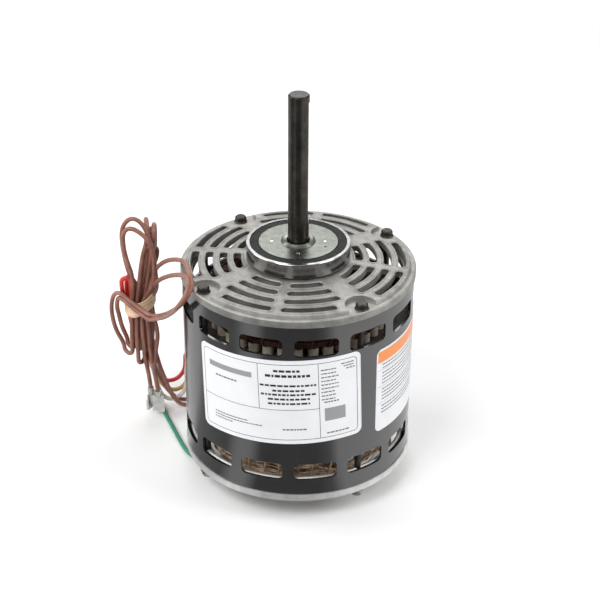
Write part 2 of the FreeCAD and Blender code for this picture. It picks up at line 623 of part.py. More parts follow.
def flag_terminal(top, lean):
    """Push-on flag terminal: crimp barrel on the lead, and a folded receptacle below it."""
    barrel = cylinder(2.1, 5.0, top - UP * 5.0)
    plate = Part.makeBox(8.0, 0.8, 12.5, Vector(-4.0, -0.4, -16.5))
    rolls = [cylinder(1.1, 8.0, Vector(side * 2.9, 0.8, -16.5)) for side in (-1, 1)]
    bridge = Part.makeBox(3.0, 3.0, 1.6, Vector(-1.5, -1.5, -5.6))
    blade = plate.multiFuse(rolls + [bridge]).removeSplitter()
    blade.rotate(Vector(0, 0, 0), UP, lean)
    blade.translate(top)
    return barrel.fuse(blade).removeSplitter()


def end_pair(name, shape):
    """The same piece at both ends of the motor."""
    save("upper_" + name, shape)
    save("lower_" + name, to_lower_end(shape))


def main():
    os.makedirs("parts", exist_ok=True)
    save("shell", shell())
    end_pair("end_shield", end_shield())
    save("stator_core", stator_core())
    save("slot_liners", slot_liners())
    save("stator_winding", stator_winding())
    save("thermal_protector", thermal_protector())
    end_pair("bearing", bearing())
    end_pair("bearing_retainer", bearing_retainer())
    end_pair("oil_wick", oil_wick())
    save("upper_hub_cap", upper_hub_cap())
    save("lower_hub_cap", lower_hub_cap())
    end_pair("mount_rubber", mount_rubber())
    end_pair("mount_band", mount_band())
    save("through_bolts", through_bolts())
    save("bolt_nuts", bolt_nuts())
    save("lead_grommet", lead_grommet())
    save("ground_screw", ground_screw())
    save("shaft", shaft())
    save("rotor_core", rotor_core())
    end_pair("rotor_ring", rotor_ring())
    end_pair("thrust_collar", thrust_collar())
    end_pair("thrust_washer", thrust_washer())
    leads = (
        ("lead_brown_1", ROUTE_BROWN_1), ("lead_brown_2", ROUTE_BROWN_2), ("lead_white", ROUTE_WHITE),
        ("lead_yellow", ROUTE_YELLOW), ("lead_red", ROUTE_RED), ("lead_loop_1", ROUTE_LOOP_1),
        ("lead_loop_2", ROUTE_LOOP_2), ("lead_tail_1", ROUTE_TAIL_1), ("lead_tail_2", ROUTE_TAIL_2),
        ("lead_green", ROUTE_GREEN))
    for name, route in leads:
        save(name, wire_tube(route, name))
    save("lead_hank", lead_hank())
    save("lead_tie_band", tie_band())
    save("flag_terminal_1", flag_terminal(Vector(*ROUTE_TAIL_1[-1]), 60.0))
    save("flag_terminal_2", flag_terminal(Vector(*ROUTE_TAIL_2[-1]), -15.0))
    save("ground_terminal", ground_terminal())


main()
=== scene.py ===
import math

import bpy
import numpy as np
from mathutils import Matrix, Vector


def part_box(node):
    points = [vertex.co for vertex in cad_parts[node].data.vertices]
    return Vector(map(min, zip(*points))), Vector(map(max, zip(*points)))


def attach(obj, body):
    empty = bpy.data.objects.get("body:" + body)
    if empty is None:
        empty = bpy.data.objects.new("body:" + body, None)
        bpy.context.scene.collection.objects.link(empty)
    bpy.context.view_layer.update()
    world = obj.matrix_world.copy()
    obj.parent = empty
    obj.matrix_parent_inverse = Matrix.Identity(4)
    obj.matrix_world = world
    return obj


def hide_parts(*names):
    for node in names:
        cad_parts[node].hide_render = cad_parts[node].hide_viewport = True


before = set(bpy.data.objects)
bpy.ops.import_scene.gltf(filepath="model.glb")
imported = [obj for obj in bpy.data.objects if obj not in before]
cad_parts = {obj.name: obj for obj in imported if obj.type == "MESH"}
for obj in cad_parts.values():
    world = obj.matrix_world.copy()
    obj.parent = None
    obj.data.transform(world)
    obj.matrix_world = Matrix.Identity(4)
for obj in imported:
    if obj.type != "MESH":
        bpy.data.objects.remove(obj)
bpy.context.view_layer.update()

MM = 0.001
SEED = 7

# Driving sizes, read from the frame where it has them
SHELL_LOW, SHELL_HIGH = (np.array(corner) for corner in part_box("shell"))
SHELL_R = (SHELL_HIGH[0] - SHELL_LOW[0]) / 2
SHELL_BOTTOM = SHELL_LOW[2]
SHELL_TOP = SHELL_HIGH[2]
STACK_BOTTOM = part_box("stator_core")[0][2]
STACK_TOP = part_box("stator_core")[1][2]
WINDING_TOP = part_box("stator_winding")[1][2]


# Meshes worked out on a grid

def grid_faces(rows, columns, closed_rows, closed_columns, offset=0):
    """Quads of a grid of points, wrapped round where a direction is closed."""
    row_steps = rows if closed_rows else rows - 1
    column_steps = columns if closed_columns else columns - 1
    r, c = np.meshgrid(np.arange(row_steps), np.arange(column_steps), indexing="ij")
    r = r.ravel()
    c = c.ravel()
    r2 = (r + 1) % rows
    c2 = (c + 1) % columns
    quads = np.stack([r * columns + c, r2 * columns + c, r2 * columns + c2, r * columns + c2], axis=1)
    return quads + offset


def mesh_piece(name, points, faces, smooth=True):
    """A mesh object at the origin from an array of points and an array of faces."""
    mesh = bpy.data.meshes.new(name)
    mesh.from_pydata(points.reshape(-1, 3).tolist(), [], faces.tolist())
    mesh.update()
    mesh.polygons.foreach_set("use_smooth", np.full(len(mesh.polygons), smooth))
    piece = bpy.data.objects.new(name, mesh)
    bpy.context.scene.collection.objects.link(piece)
    return piece


def grid_piece(name, points, closed_rows=False, closed_columns=False, smooth=True):
    """A surface from one grid of points (rows, columns, 3)."""
    rows, columns = points.shape[:2]
    return mesh_piece(name, points, grid_faces(rows, columns, closed_rows, closed_columns), smooth)


def many_grids(name, stack, closed_rows=False, closed_columns=False, smooth=True):
    """One mesh from equal grids (count, rows, columns, 3)."""
    count, rows, columns = stack.shape[:3]
    one = grid_faces(rows, columns, closed_rows, closed_columns)
    offsets = (np.arange(count) * rows * columns)[:, None, None]
    faces = (one[None] + offsets).reshape(-1, 4)
    return mesh_piece(name, stack, faces, smooth)


def on_cylinder(radius, across, height):
    """Points on a cylinder: the distance across over the shell's radius is the angle from the front."""
    angle = across / SHELL_R - math.pi / 2
    return np.stack([radius * np.cos(angle), radius * np.sin(angle), height], axis=-1)


# Node helpers for the finishes

class Finish:
    """A material with its shader and a few ways to add detail to it."""

    def __init__(self, name, colour, roughness, metallic=0.0):
        self.material = bpy.data.materials.new(name)
        self.material.use_nodes = True
        self.nodes = self.material.node_tree.nodes
        self.links = self.material.node_tree.links
        self.shader = self.nodes["Principled BSDF"]
        self.shader.inputs["Base Color"].default_value = (*colour, 1.0)
        self.shader.inputs["Roughness"].default_value = roughness
        self.shader.inputs["Metallic"].default_value = metallic
        self.height = None
        self.place = self.nodes.new("ShaderNodeTexCoord").outputs["Object"]

    def value(self, **sockets):
        """Sets the shader's sockets by name, with an underscore for each space."""
        for name, number in sockets.items():
            self.shader.inputs[name.replace("_", " ")].default_value = number
        return self

    def stretched(self, scale):
        """Object coordinates scaled along each axis."""
        mapping = self.nodes.new("ShaderNodeMapping")
        mapping.inputs["Scale"].default_value = scale
        self.links.new(self.place, mapping.inputs["Vector"])
        return mapping.outputs["Vector"]

    def noise(self, scale, detail=4.0, roughness=0.55, where=None):
        """Fractal noise from 0 to 1, on Object coordinates unless others are given."""
        node = self.nodes.new("ShaderNodeTexNoise")
        node.inputs["Scale"].default_value = scale
        node.inputs["Detail"].default_value = detail
        node.inputs["Roughness"].default_value = roughness
        self.links.new(where or self.place, node.inputs["Vector"])
        return node.outputs["Fac"]

    def between(self, source, low, high, out_low, out_high):
        """The source remapped from one span to another."""
        node = self.nodes.new("ShaderNodeMapRange")
        spans = {"From Min": low, "From Max": high, "To Min": out_low, "To Max": out_high}
        for socket, number in spans.items():
            node.inputs[socket].default_value = number
        self.links.new(source, node.inputs["Value"])
        return node.outputs["Result"]

    def tint(self, source, first, second, low=0.35, high=0.65):
        """Base colour that runs from one colour to the other with the source."""
        ramp = self.nodes.new("ShaderNodeValToRGB")
        ramp.color_ramp.elements[0].position = low
        ramp.color_ramp.elements[0].color = (*first, 1.0)
        ramp.color_ramp.elements[1].position = high
        ramp.color_ramp.elements[1].color = (*second, 1.0)
        self.links.new(source, ramp.inputs["Fac"])
        self.links.new(ramp.outputs["Color"], self.shader.inputs["Base Color"])
        return self

    def rough(self, source, low, high):
        """Roughness that runs from low to high with the source."""
        self.links.new(self.between(source, 0.3, 0.7, low, high), self.shader.inputs["Roughness"])
        return self

    def bump(self, source, depth, strength=1.0):
        """Adds relief of the given depth in metres on top of any relief already there."""
        node = self.nodes.new("ShaderNodeBump")
        node.inputs["Distance"].default_value = depth
        node.inputs["Strength"].default_value = strength
        self.links.new(source, node.inputs["Height"])
        if self.height is not None:
            self.links.new(self.height, node.inputs["Normal"])
        self.height = node.outputs["Normal"]
        self.links.new(self.height, self.shader.inputs["Normal"])
        return self


def dress(node, finish):
    """Gives a CAD node its finish."""
    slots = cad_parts[node].data.materials
    slots.clear()
    slots.append(finish.material)


def cast_aluminium(name, dark, light):
    """Dull die-cast skin: warm grey, with fine grain, soft blotches and dark pits."""
    finish = Finish(name, light, 0.5, 0.75)
    blotch = finish.noise(110.0, 5.0, 0.65)
    grain = finish.noise(1100.0, 5.0, 0.7)
    finish.tint(blotch, dark, light)
    finish.rough(grain, 0.44, 0.64)
    finish.bump(grain, 0.00016)
    finish.bump(finish.noise(380.0, 3.0, 0.5), 0.00018)
    return finish


def black_enamel():
    """Gloss black enamel with a little orange peel."""
    finish = Finish("black_enamel", (0.006, 0.006, 0.0065), 0.16)
    finish.value(IOR=1.7, Specular_IOR_Level=1.0)
    finish.tint(finish.noise(45.0, 5.0, 0.6), (0.004, 0.004, 0.0045), (0.009, 0.009, 0.0095))
    finish.rough(finish.noise(60.0, 4.0, 0.6), 0.12, 0.2)
    finish.bump(finish.noise(320.0, 2.0, 0.4), 0.00001)
    return finish


def zinc_plate(name, light, dark, roughness):
    """Zinc plate: faint mottling and fine drawing marks."""
    finish = Finish(name, light, roughness, 1.0)
    mottle = finish.noise(260.0, 6.0, 0.65)
    finish.tint(mottle, dark, light)
    finish.rough(finish.noise(900.0, 3.0, 0.5), roughness - 0.06, roughness + 0.10)
    finish.bump(finish.noise(1.0, 3.0, 0.5, finish.stretched((60.0, 60.0, 2500.0))), 0.00002)
    return finish


def black_rubber():
    """Dull black rubber with a fine tooth."""
    finish = Finish("black_rubber", (0.018, 0.018, 0.018), 0.6)
    finish.value(Specular_IOR_Level=0.2)
    finish.tint(finish.noise(300.0, 5.0, 0.6), (0.007, 0.007, 0.007), (0.018, 0.0175, 0.017))
    finish.rough(finish.noise(800.0, 3.0, 0.5), 0.5, 0.72)
    finish.bump(finish.noise(1500.0, 4.0, 0.6), 0.00006)
    return finish


def dark_oxide(name, low, high):
    """Black oxide on steel: brown-black, satin, with lengthwise grinding marks."""
    finish = Finish(name, (0.04, 0.036, 0.032), 0.35, 0.9)
    finish.tint(finish.noise(120.0, 5.0, 0.6), (0.040, 0.036, 0.032), (0.080, 0.073, 0.065))
    finish.rough(finish.noise(1.0, 4.0, 0.6, finish.stretched((900.0, 900.0, 5000.0))), low, high)
    finish.bump(finish.noise(1.0, 3.0, 0.5, finish.stretched((700.0, 700.0, 6000.0))), 0.00001)
    return finish


def lamination_edge():
    """Edges of thin sheets: fine rings up the height, with some rust-brown."""
    finish = Finish("lamination_edge", (0.12, 0.11, 0.10), 0.5, 0.8)
    finish.tint(finish.noise(150.0, 5.0, 0.6), (0.07, 0.06, 0.055), (0.17, 0.16, 0.15))
    finish.bump(finish.noise(1.0, 1.0, 0.4, finish.stretched((30.0, 30.0, 4000.0))), 0.00010)
    return finish


def slot_paper():
    """Cream insulating paper, mottled with varnish."""
    finish = Finish("slot_paper", (0.62, 0.54, 0.42), 0.55)
    finish.tint(finish.noise(350.0, 5.0, 0.65), (0.50, 0.41, 0.31), (0.74, 0.68, 0.58))
    finish.bump(finish.noise(900.0, 4.0, 0.6), 0.00008)
    return finish


def copper_enamel(name, dark, light, metallic):
    """Enamelled copper wire, glossy and blotched with varnish."""
    finish = Finish(name, light, 0.28, metallic)
    finish.tint(finish.noise(260.0, 5.0, 0.65), dark, light)
    finish.value(Coat_Weight=0.5, Coat_Roughness=0.15)
    finish.bump(finish.noise(1600.0, 3.0, 0.5), 0.00006)
    return finish


def plain_metal(name, colour, roughness):
    """Plain metal with soft stains and a fine grain."""
    finish = Finish(name, colour, roughness, 1.0)
    dark = tuple(0.75 * part for part in colour)
    finish.tint(finish.noise(220.0, 5.0, 0.6), dark, colour)
    finish.rough(finish.noise(700.0, 3.0, 0.5), roughness - 0.05, roughness + 0.1)
    finish.bump(finish.noise(1200.0, 3.0, 0.5), 0.00003)
    return finish


def felt():
    """Pressed felt, fibrous and dull, with a little sheen."""
    finish = Finish("felt", (0.50, 0.45, 0.36), 0.95)
    finish.tint(finish.noise(500.0, 6.0, 0.7), (0.36, 0.31, 0.24), (0.60, 0.55, 0.46))
    finish.value(Sheen_Weight=0.4)
    finish.bump(finish.noise(1400.0, 6.0, 0.7), 0.0003)
    return finish


def plastic(name, colour, roughness=0.5):
    """Moulded plastic, faintly clouded."""
    finish = Finish(name, colour, roughness)
    dark = tuple(0.85 * part for part in colour)
    finish.tint(finish.noise(180.0, 4.0, 0.6), dark, colour)
    finish.bump(finish.noise(900.0, 3.0, 0.5), 0.00003)
    return finish


def wire_insulation(name, colour, mark=None):
    """PVC insulation: slight gloss, fine scuffs along the wire, faint colour change."""
    finish = Finish(name, colour, 0.42)
    dark = tuple(0.72 * part for part in colour)
    finish.tint(finish.noise(140.0, 5.0, 0.65), dark, mark or colour, 0.3, 0.72)
    finish.rough(finish.noise(600.0, 4.0, 0.6), 0.32, 0.55)
    finish.bump(finish.noise(700.0, 4.0, 0.6), 0.00004)
    finish.value(Coat_Weight=0.15, Coat_Roughness=0.3)
    return finish


def label_stock(name, colour):
    """Coated paper label: slight sheen and a very fine tooth."""
    finish = Finish(name, colour, 0.4)
    finish.tint(finish.noise(60.0, 4.0, 0.6), tuple(0.95 * part for part in colour), colour)
    finish.bump(finish.noise(2200.0, 3.0, 0.5), 0.000015)
    finish.value(Coat_Weight=0.25, Coat_Roughness=0.25)
    return finish


# Finishes of the CAD nodes
ALUMINIUM = cast_aluminium("cast_aluminium", (0.25, 0.243, 0.228), (0.40, 0.39, 0.37))
# Painted light: the lower casting is the same die-cast alloy as the upper one, painted about twice as pale
# as a lit copy.
ALUMINIUM_PAINTED_LIT = cast_aluminium("aluminium_painted_lit", (0.62, 0.615, 0.60), (0.80, 0.795, 0.78))
ENAMEL = black_enamel()
BAND_ZINC = zinc_plate("band_zinc", (0.40, 0.40, 0.39), (0.28, 0.28, 0.275), 0.17)
CAP_ZINC = zinc_plate("cap_zinc", (0.215, 0.225, 0.20), (0.15, 0.16, 0.14), 0.3)
RUBBER = black_rubber()
SHAFT_OXIDE = dark_oxide("shaft_oxide", 0.2, 0.34)
BOLT_OXIDE = dark_oxide("bolt_oxide", 0.38, 0.55)
LAMINATION = lamination_edge()
PAPER = slot_paper()
# Upper winding: dark red-brown varnished copper, darkened further with painted shade for the end turns in
# shadow.
COPPER = copper_enamel("copper_enamel", (0.03, 0.009, 0.007), (0.13, 0.035, 0.022), 0.55)
# Lower winding: the same enamelled wire, painted far paler as a lit copy of the upper one.
LIT_COPPER = copper_enamel("copper_painted_lit", (0.34, 0.19, 0.10), (1.0, 0.76, 0.55), 0.15)
BRONZE = plain_metal("bronze", (0.58, 0.40, 0.20), 0.38)
SPRING = plain_metal("spring_steel", (0.46, 0.46, 0.47), 0.35)
ROTOR_CAST = plain_metal("rotor_cast", (0.56, 0.56, 0.56), 0.45)
COLLAR = plain_metal("collar_steel", (0.45, 0.45, 0.45), 0.32)
TINNED = plain_metal("tinned_brass", (0.62, 0.62, 0.59), 0.3)
FELT = felt()
NYLON = plastic("nylon", (0.70, 0.67, 0.56))
PROTECTOR = plastic("protector_case", (0.06, 0.06, 0.065), 0.4)
BROWN_WIRE = wire_insulation("brown_wire", (0.26, 0.10, 0.068), (0.36, 0.16, 0.115))
WHITE_WIRE = wire_insulation("white_wire", (0.72, 0.68, 0.62))
YELLOW_WIRE = wire_insulation("yellow_wire", (0.62, 0.42, 0.12))
RED_WIRE = wire_insulation("red_wire", (0.70, 0.045, 0.03))
GREEN_WIRE = wire_insulation("green_wire", (0.012, 0.23, 0.13))
TAN_BAND = wire_insulation("tan_band", (0.80, 0.52, 0.31), (0.88, 0.64, 0.44))

NODE_FINISHES = {
    "shell": ENAMEL, "upper_end_shield": ALUMINIUM, "lower_end_shield": ALUMINIUM_PAINTED_LIT,
    "stator_core": LAMINATION, "slot_liners": PAPER, "stator_winding": COPPER,
    "thermal_protector": PROTECTOR, "upper_bearing": BRONZE, "lower_bearing": BRONZE,
    "upper_bearing_retainer": SPRING, "lower_bearing_retainer": SPRING,
    "upper_oil_wick": FELT, "lower_oil_wick": FELT, "upper_hub_cap": CAP_ZINC,
    "lower_hub_cap": CAP_ZINC, "upper_mount_rubber": RUBBER, "lower_mount_rubber": RUBBER,
    "upper_mount_band": BAND_ZINC, "lower_mount_band": BAND_ZINC, "through_bolts": BOLT_OXIDE,
    "bolt_nuts": BAND_ZINC, "lead_grommet": RUBBER, "ground_screw": BAND_ZINC,
    "shaft": SHAFT_OXIDE, "rotor_core": LAMINATION, "upper_rotor_ring": ROTOR_CAST,
    "lower_rotor_ring": ROTOR_CAST, "upper_thrust_collar": COLLAR, "lower_thrust_collar": COLLAR,
    "upper_thrust_washer": NYLON, "lower_thrust_washer": NYLON, "lead_tie_band": TAN_BAND,
    "flag_terminal_1": TINNED, "flag_terminal_2": TINNED, "ground_terminal": TINNED,
}
for node_name, node_finish in NODE_FINISHES.items():
    dress(node_name, node_finish)


# Labels on the shell

LABEL_WIDTH = 105.5
LABEL_HEIGHT = 58.0
LABEL_CORNER = 4.0
LABEL_FACE = 0.16           # the sheet's outer face over the enamel
LABEL_THICK = 0.14
PRINT_FACE = 0.20
SIDE_WIDTH = 62.0
SIDE_HEIGHT = 58.0
# where a label's middle is: across the shell from the front, up, and its tilt
LABEL_PLACES = {"main": (-13.1, 85.7, math.radians(2.4)), "side": (82.2, 82.5, math.radians(0.5))}

# Lines of the main label: a frame, two upright dividers and one level divider
FRAME_HALF_WIDTH = 50.2
FRAME_HALF_HEIGHT = 26.3
FRAME_CORNER = 3.0
FRAME_LINE = 0.35
LEFT_DIVIDER = -10.0
RIGHT_DIVIDER = 26.0
LEVEL_DIVIDER = -5.0
DIVIDER_HALF = 0.15

# Rows in bold dashes, centred on one column: middle height, width, height of a dash
BOLD_COLUMN = 8.0
BOLD_ROWS = ((21.9, 17.0, 1.5), (18.5, 27.0, 1.7), (11.8, 34.0, 1.3), (8.4, 19.0, 1.3),
             (5.6, 33.0, 1.3), (2.5, 25.0, 1.3), (-0.6, 25.0, 1.3))
# Rows in a list, flush left
LIST_LEFT = 27.5
LIST_TOP = 21.2
LIST_STEP = 2.55
LIST_TALL = 0.75
LIST_COUNT = 9
# Single rows of small dashes: left, right, middle height, height, shortest and longest dash, gap
SMALL_ROWS = ((40.0, 48.5, 23.4, 0.75, 0.8, 2.2, 0.4), (41.5, 48.5, 21.5, 0.75, 0.8, 2.2, 0.4),
              (43.0, 48.5, 19.6, 0.75, 0.8, 2.2, 0.4), (29.0, 38.0, -1.2, 0.9, 1.0, 2.2, 0.5),
              (30.0, 45.0, -23.2, 0.9, 1.0, 2.6, 0.5), (-42.0, -18.0, -15.3, 0.7, 0.8, 2.2, 0.45),
              (-42.0, -9.0, -17.2, 0.7, 0.8, 2.2, 0.45), (-42.0, -29.0, -19.1, 0.7, 0.8, 2.2, 0.45),
              (3.5, 18.5, -18.8, 0.9, 1.0, 2.4, 0.5), (-40.0, -23.0, 10.6, 1.0, 1.0, 2.2, 0.5))
# Plain grey bars: left, right, bottom, top
GREY_BARS = ((-45.0, -14.0, 15.4, 19.0), (29.0, 42.0, -14.5, -5.5))

# The side label: a header bar, level lines and blocks of dashes under each
SIDE_MARGIN = 1.2
SIDE_INDENT = 5.0
HEADER_BOTTOM = 19.8
HEADER_TOP = 27.6
SIDE_LINES = (14.3, 2.9, -9.0)
SIDE_LINE_HALF = 0.12
SIDE_BLOCKS = ((17.9, 2), (12.0, 4), (0.6, 4), (-11.4, 3))      # height of the top row, rows
SIDE_STEP = 2.4
SHORTEST_DASH = 0.8


def label_points(right, up, lift, label="main"):
    """Label coordinates turned by the label's tilt, moved to its place and wrapped round the shell."""
    across, height, tilt = LABEL_PLACES[label]
    along = across + right * math.cos(tilt) - up * math.sin(tilt)
    level = height + right * math.sin(tilt) + up * math.cos(tilt)
    return on_cylinder(SHELL_R + lift * MM, along * MM, level * MM)


def rounded_rectangle(width, height, corner, columns=72, rows=40):
    """Grid over a rounded rectangle: each row is as wide as the quarter circles leave it."""
    corner_rows = 9
    ends = corner * (1 - np.cos(np.linspace(0, math.pi / 2, corner_rows)))
    middle = np.linspace(corner, height - corner, rows - 2 * corner_rows + 2)[1:-1]
    up = np.concatenate([ends, middle, height - ends[::-1]]) - height / 2
    over = np.maximum(np.abs(up) - (height / 2 - corner), 0.0)
    half = width / 2 - corner + np.sqrt(np.maximum(corner ** 2 - over ** 2, 0.0))
    share = np.linspace(-1.0, 1.0, columns)
    return half[:, None] * share[None, :], np.repeat(up[:, None], columns, axis=1)


def label_sheet(name, label, width, height, finish):
    """The label itself: a rounded rectangle wrapped on the shell and given its thickness inwards."""
    right, up = rounded_rectangle(width, height, LABEL_CORNER)
    piece = grid_piece(name, label_points(right[::-1], up[::-1], LABEL_FACE, label))
    thick = piece.modifiers.new("thickness", "SOLIDIFY")
    thick.thickness = LABEL_THICK * MM
    thick.offset = -1.0
    piece.data.materials.append(finish.material)
    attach(piece, "motor")
    return piece


def print_bars(name, bars, finish, label="main", steps=8):
    """Printed bars (left, right, bottom, top): each runs straight from end to end, then is wrapped."""
    bars = np.array(bars, dtype=float)
    share = np.linspace(0.0, 1.0, steps + 1)
    right = bars[:, None, 0] + (bars[:, None, 1] - bars[:, None, 0]) * share
    right = np.repeat(right[:, None, :], 2, axis=1)
    up = np.repeat(bars[:, [3, 2]][:, :, None], steps + 1, axis=2)
    points = label_points(right, up, PRINT_FACE, label)
    piece = many_grids(name, points)
    piece.data.materials.append(finish.material)
    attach(piece, "motor")
    return piece


def closer_points(rims, between=20):
    """Closed rows of numbers with more steps between each two, by straight interpolation."""
    count = rims.shape[1]
    dense = np.linspace(0, count, between * count, endpoint=False)
    closed = np.concatenate([rims, rims[:, :1]], axis=1)
    return np.stack([np.interp(dense, np.arange(count + 1), row) for row in closed])


def frame_line(name, half_width, half_height, corner, line, finish):
    """A closed printed line: two circles' points, each quarter moved out to a corner of the frame."""
    turn = np.linspace(0, 2 * math.pi, 96, endpoint=False)
    radius = np.array([[corner - line], [corner]])
    right = np.sign(np.cos(turn)) * (half_width - corner) + radius * np.cos(turn)
    up = np.sign(np.sin(turn)) * (half_height - corner) + radius * np.sin(turn)
    # the long sides get points of their own, so that the line follows the shell
    points = label_points(closer_points(right), closer_points(up), PRINT_FACE)
    piece = grid_piece(name, points, closed_columns=True)
    piece.data.materials.append(finish.material)
    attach(piece, "motor")
    return piece


def dash_row(left, right, middle, tall, rng, dash=(1.2, 3.6), gap=0.7):
    """One row of plain dashes of uneven length, from left to right, that stands for a line of print."""
    bars = []
    start = left
    while start < right - SHORTEST_DASH:
        end = min(start + rng.uniform(*dash), right)
        bars.append((start, end, middle - tall / 2, middle + tall / 2))
        start = end + gap
    return bars


def main_label():
    """The large label: frame, dividers, rows of dashes and two grey bars."""
    rng = np.random.default_rng(SEED)
    label_sheet("rating_label", "main", LABEL_WIDTH, LABEL_HEIGHT, LABEL_WHITE)
    frame_line("rating_label_frame", FRAME_HALF_WIDTH, FRAME_HALF_HEIGHT, FRAME_CORNER, FRAME_LINE,
               PRINT_BLACK)
    print_bars("rating_label_dividers", [
        (LEFT_DIVIDER - DIVIDER_HALF, LEFT_DIVIDER + DIVIDER_HALF, LEVEL_DIVIDER, FRAME_HALF_HEIGHT),
        (RIGHT_DIVIDER - DIVIDER_HALF, RIGHT_DIVIDER + DIVIDER_HALF, -FRAME_HALF_HEIGHT, FRAME_HALF_HEIGHT),
        (-FRAME_HALF_WIDTH, RIGHT_DIVIDER, LEVEL_DIVIDER - DIVIDER_HALF, LEVEL_DIVIDER + DIVIDER_HALF),
    ], PRINT_BLACK, steps=40)
    bold = []
    for middle, width, tall in BOLD_ROWS:
        bold += dash_row(BOLD_COLUMN - width / 2, BOLD_COLUMN + width / 2, middle, tall, rng)
    rows = []
    for k in range(LIST_COUNT):
        right = LIST_LEFT + rng.uniform(8.0, 11.0)
        rows += dash_row(LIST_LEFT, right, LIST_TOP - LIST_STEP * k, LIST_TALL, rng, (0.8, 2.4), 0.45)
    for left, right, middle, tall, shortest, longest, gap in SMALL_ROWS:
        rows += dash_row(left, right, middle, tall, rng, (shortest, longest), gap)
    print_bars("rating_label_rows", rows, PRINT_GREY)
    print_bars("rating_label_bold_rows", bold, PRINT_BLACK)
    print_bars("rating_label_bars", GREY_BARS, PRINT_SOFT)


def side_label():
    """The second label: a header bar, level lines and blocks of dashes."""
    rng = np.random.default_rng(SEED + 1)
    label_sheet("side_label", "side", SIDE_WIDTH, SIDE_HEIGHT, LABEL_WHITE)
    left = -SIDE_WIDTH / 2
    right = SIDE_WIDTH / 2
    edges = (left + SIDE_MARGIN, right - SIDE_MARGIN)
    print_bars("side_label_header", [(*edges, HEADER_BOTTOM, HEADER_TOP)], PRINT_ORANGE, "side", steps=24)
    print_bars("side_label_lines", [(*edges, line - SIDE_LINE_HALF, line + SIDE_LINE_HALF)
                                    for line in SIDE_LINES], PRINT_SOFT, "side", steps=24)
    rows = []
    for top, count in SIDE_BLOCKS:
        for k in range(count):
            end = right - SIDE_INDENT - rng.uniform(0, 14)
            rows += dash_row(left + SIDE_INDENT, end, top - SIDE_STEP * k, 0.8, rng, (0.8, 2.6), 0.45)
    print_bars("side_label_rows", rows, PRINT_GREY, "side")


LABEL_WHITE = label_stock("label_white", (0.80, 0.81, 0.83))
PRINT_BLACK = label_stock("print_black", (0.02, 0.02, 0.02))
PRINT_GREY = label_stock("print_grey", (0.10, 0.10, 0.11))
PRINT_SOFT = label_stock("print_soft", (0.30, 0.30, 0.31))
PRINT_ORANGE = label_stock("print_orange", (0.86, 0.27, 0.06))
main_label()
side_label()


# Leads: each is one wire from where it leaves the motor to its end, in millimetres

WIRE_D = 2.9
TIE_HEIGHT = 88.5
BAND_LOW = 76.0             # between these two heights the band holds the wires still
BAND_HIGH = 101.0
PACK = 3.0                  # from one wire's seat to the next
ROW_PACK = 2.7              # from one row of seats to the next
MIDDLE_ROW = 2.2
HANK_FOOT = 46.0
# the tied bundle's middle and its spread, by height
HANK_HEIGHTS = (44.0, 62.0, 76.0, 88.5, 104.0, 124.0, 146.0)
HANK_X = (-103.0, -104.0, -104.0, -103.4, -101.0, -97.6, -95.0)
HANK_Y = (51.0, 51.2, 51.0, 50.8, 50.8, 50.6, 50.4)
HANK_SPREAD = (1.10, 1.28, 1.12, 1.0, 1.06, 1.0, 0.8)
WANDER = 0.7                # how far a loose wire strays from its seat
FOLD_ROOM = 9.0             # no point of a pass lies this close to its fold
# corners of a fold: across and inward, in half widths
FOLD_CORNERS = ((-1, 1.6), (-1, 0.42), (0, -0.155), (1, 0.42), (1, 1.6))
HANK_STATIONS = (54.0, 65.0, 77.0, 88.5, 100.0, 112.0, 124.0, 134.0)

# Routes outside the bundle: the exits, the loops by the rim, on the left and at the crown, and the tails
EXIT_BROWN_1 = [(-62.8, 43.8, 34.2), (-67.8, 47.4, 34.0), (-70.9, 51.8, 30.6), (-70.6, 55.8, 24.4),
                (-67.8, 58.0, 18.0), (-64.6, 59.0, 11.6), (-66.8, 57.8, 5.1), (-72.6, 55.3, 2.2),
                (-78.9, 52.6, 3.6), (-83.0, 50.8, 8.9), (-86.2, 49.2, 16.6), (-89.0, 48.2, 26.4),
                (-92.2, 48.0, 37.0), (-94.6, 48.8, 48.0)]
EXIT_BROWN_2 = [(-61.0, 46.2, 34.2), (-65.4, 49.6, 34.0), (-68.0, 54.6, 31.8), (-68.2, 59.6, 26.8),
                (-66.6, 62.8, 19.8), (-65.6, 63.8, 12.0), (-68.4, 63.0, 5.7), (-74.3, 61.4, 2.4),
                (-80.7, 59.4, 3.6), (-85.4, 57.8, 8.4), (-89.6, 56.4, 15.2), (-93.2, 55.4, 23.6),
                (-96.2, 54.8, 33.2), (-98.0, 54.4, 43.4)]
EXIT_WHITE = [(-63.3, 43.0, 37.1), (-68.4, 46.6, 37.8), (-73.0, 50.8, 36.6), (-75.4, 54.8, 31.6),
              (-75.4, 57.2, 25.4), (-75.4, 58.2, 18.4), (-77.0, 57.4, 12.2), (-81.4, 55.0, 8.2),
              (-87.0, 52.9, 7.8), (-91.6, 51.8, 11.4), (-94.0, 51.0, 17.4), (-95.4, 50.8, 24.2),
              (-96.8, 50.8, 31.4), (-98.2, 50.8, 38.4), (-99.2, 50.8, 44.0)]
EXIT_YELLOW = [(-60.5, 47.0, 37.1), (-64.8, 50.2, 38.0), (-69.2, 54.2, 38.4), (-73.4, 58.8, 36.4),
               (-75.6, 62.8, 31.0), (-75.6, 64.8, 24.0), (-75.2, 64.6, 17.0), (-78.6, 63.6, 11.2),
               (-84.6, 61.8, 9.4), (-90.0, 60.2, 12.6), (-94.0, 59.2, 18.6), (-96.8, 58.6, 27.0),
               (-99.2, 58.0, 36.4), (-101.4, 57.4, 46.4)]
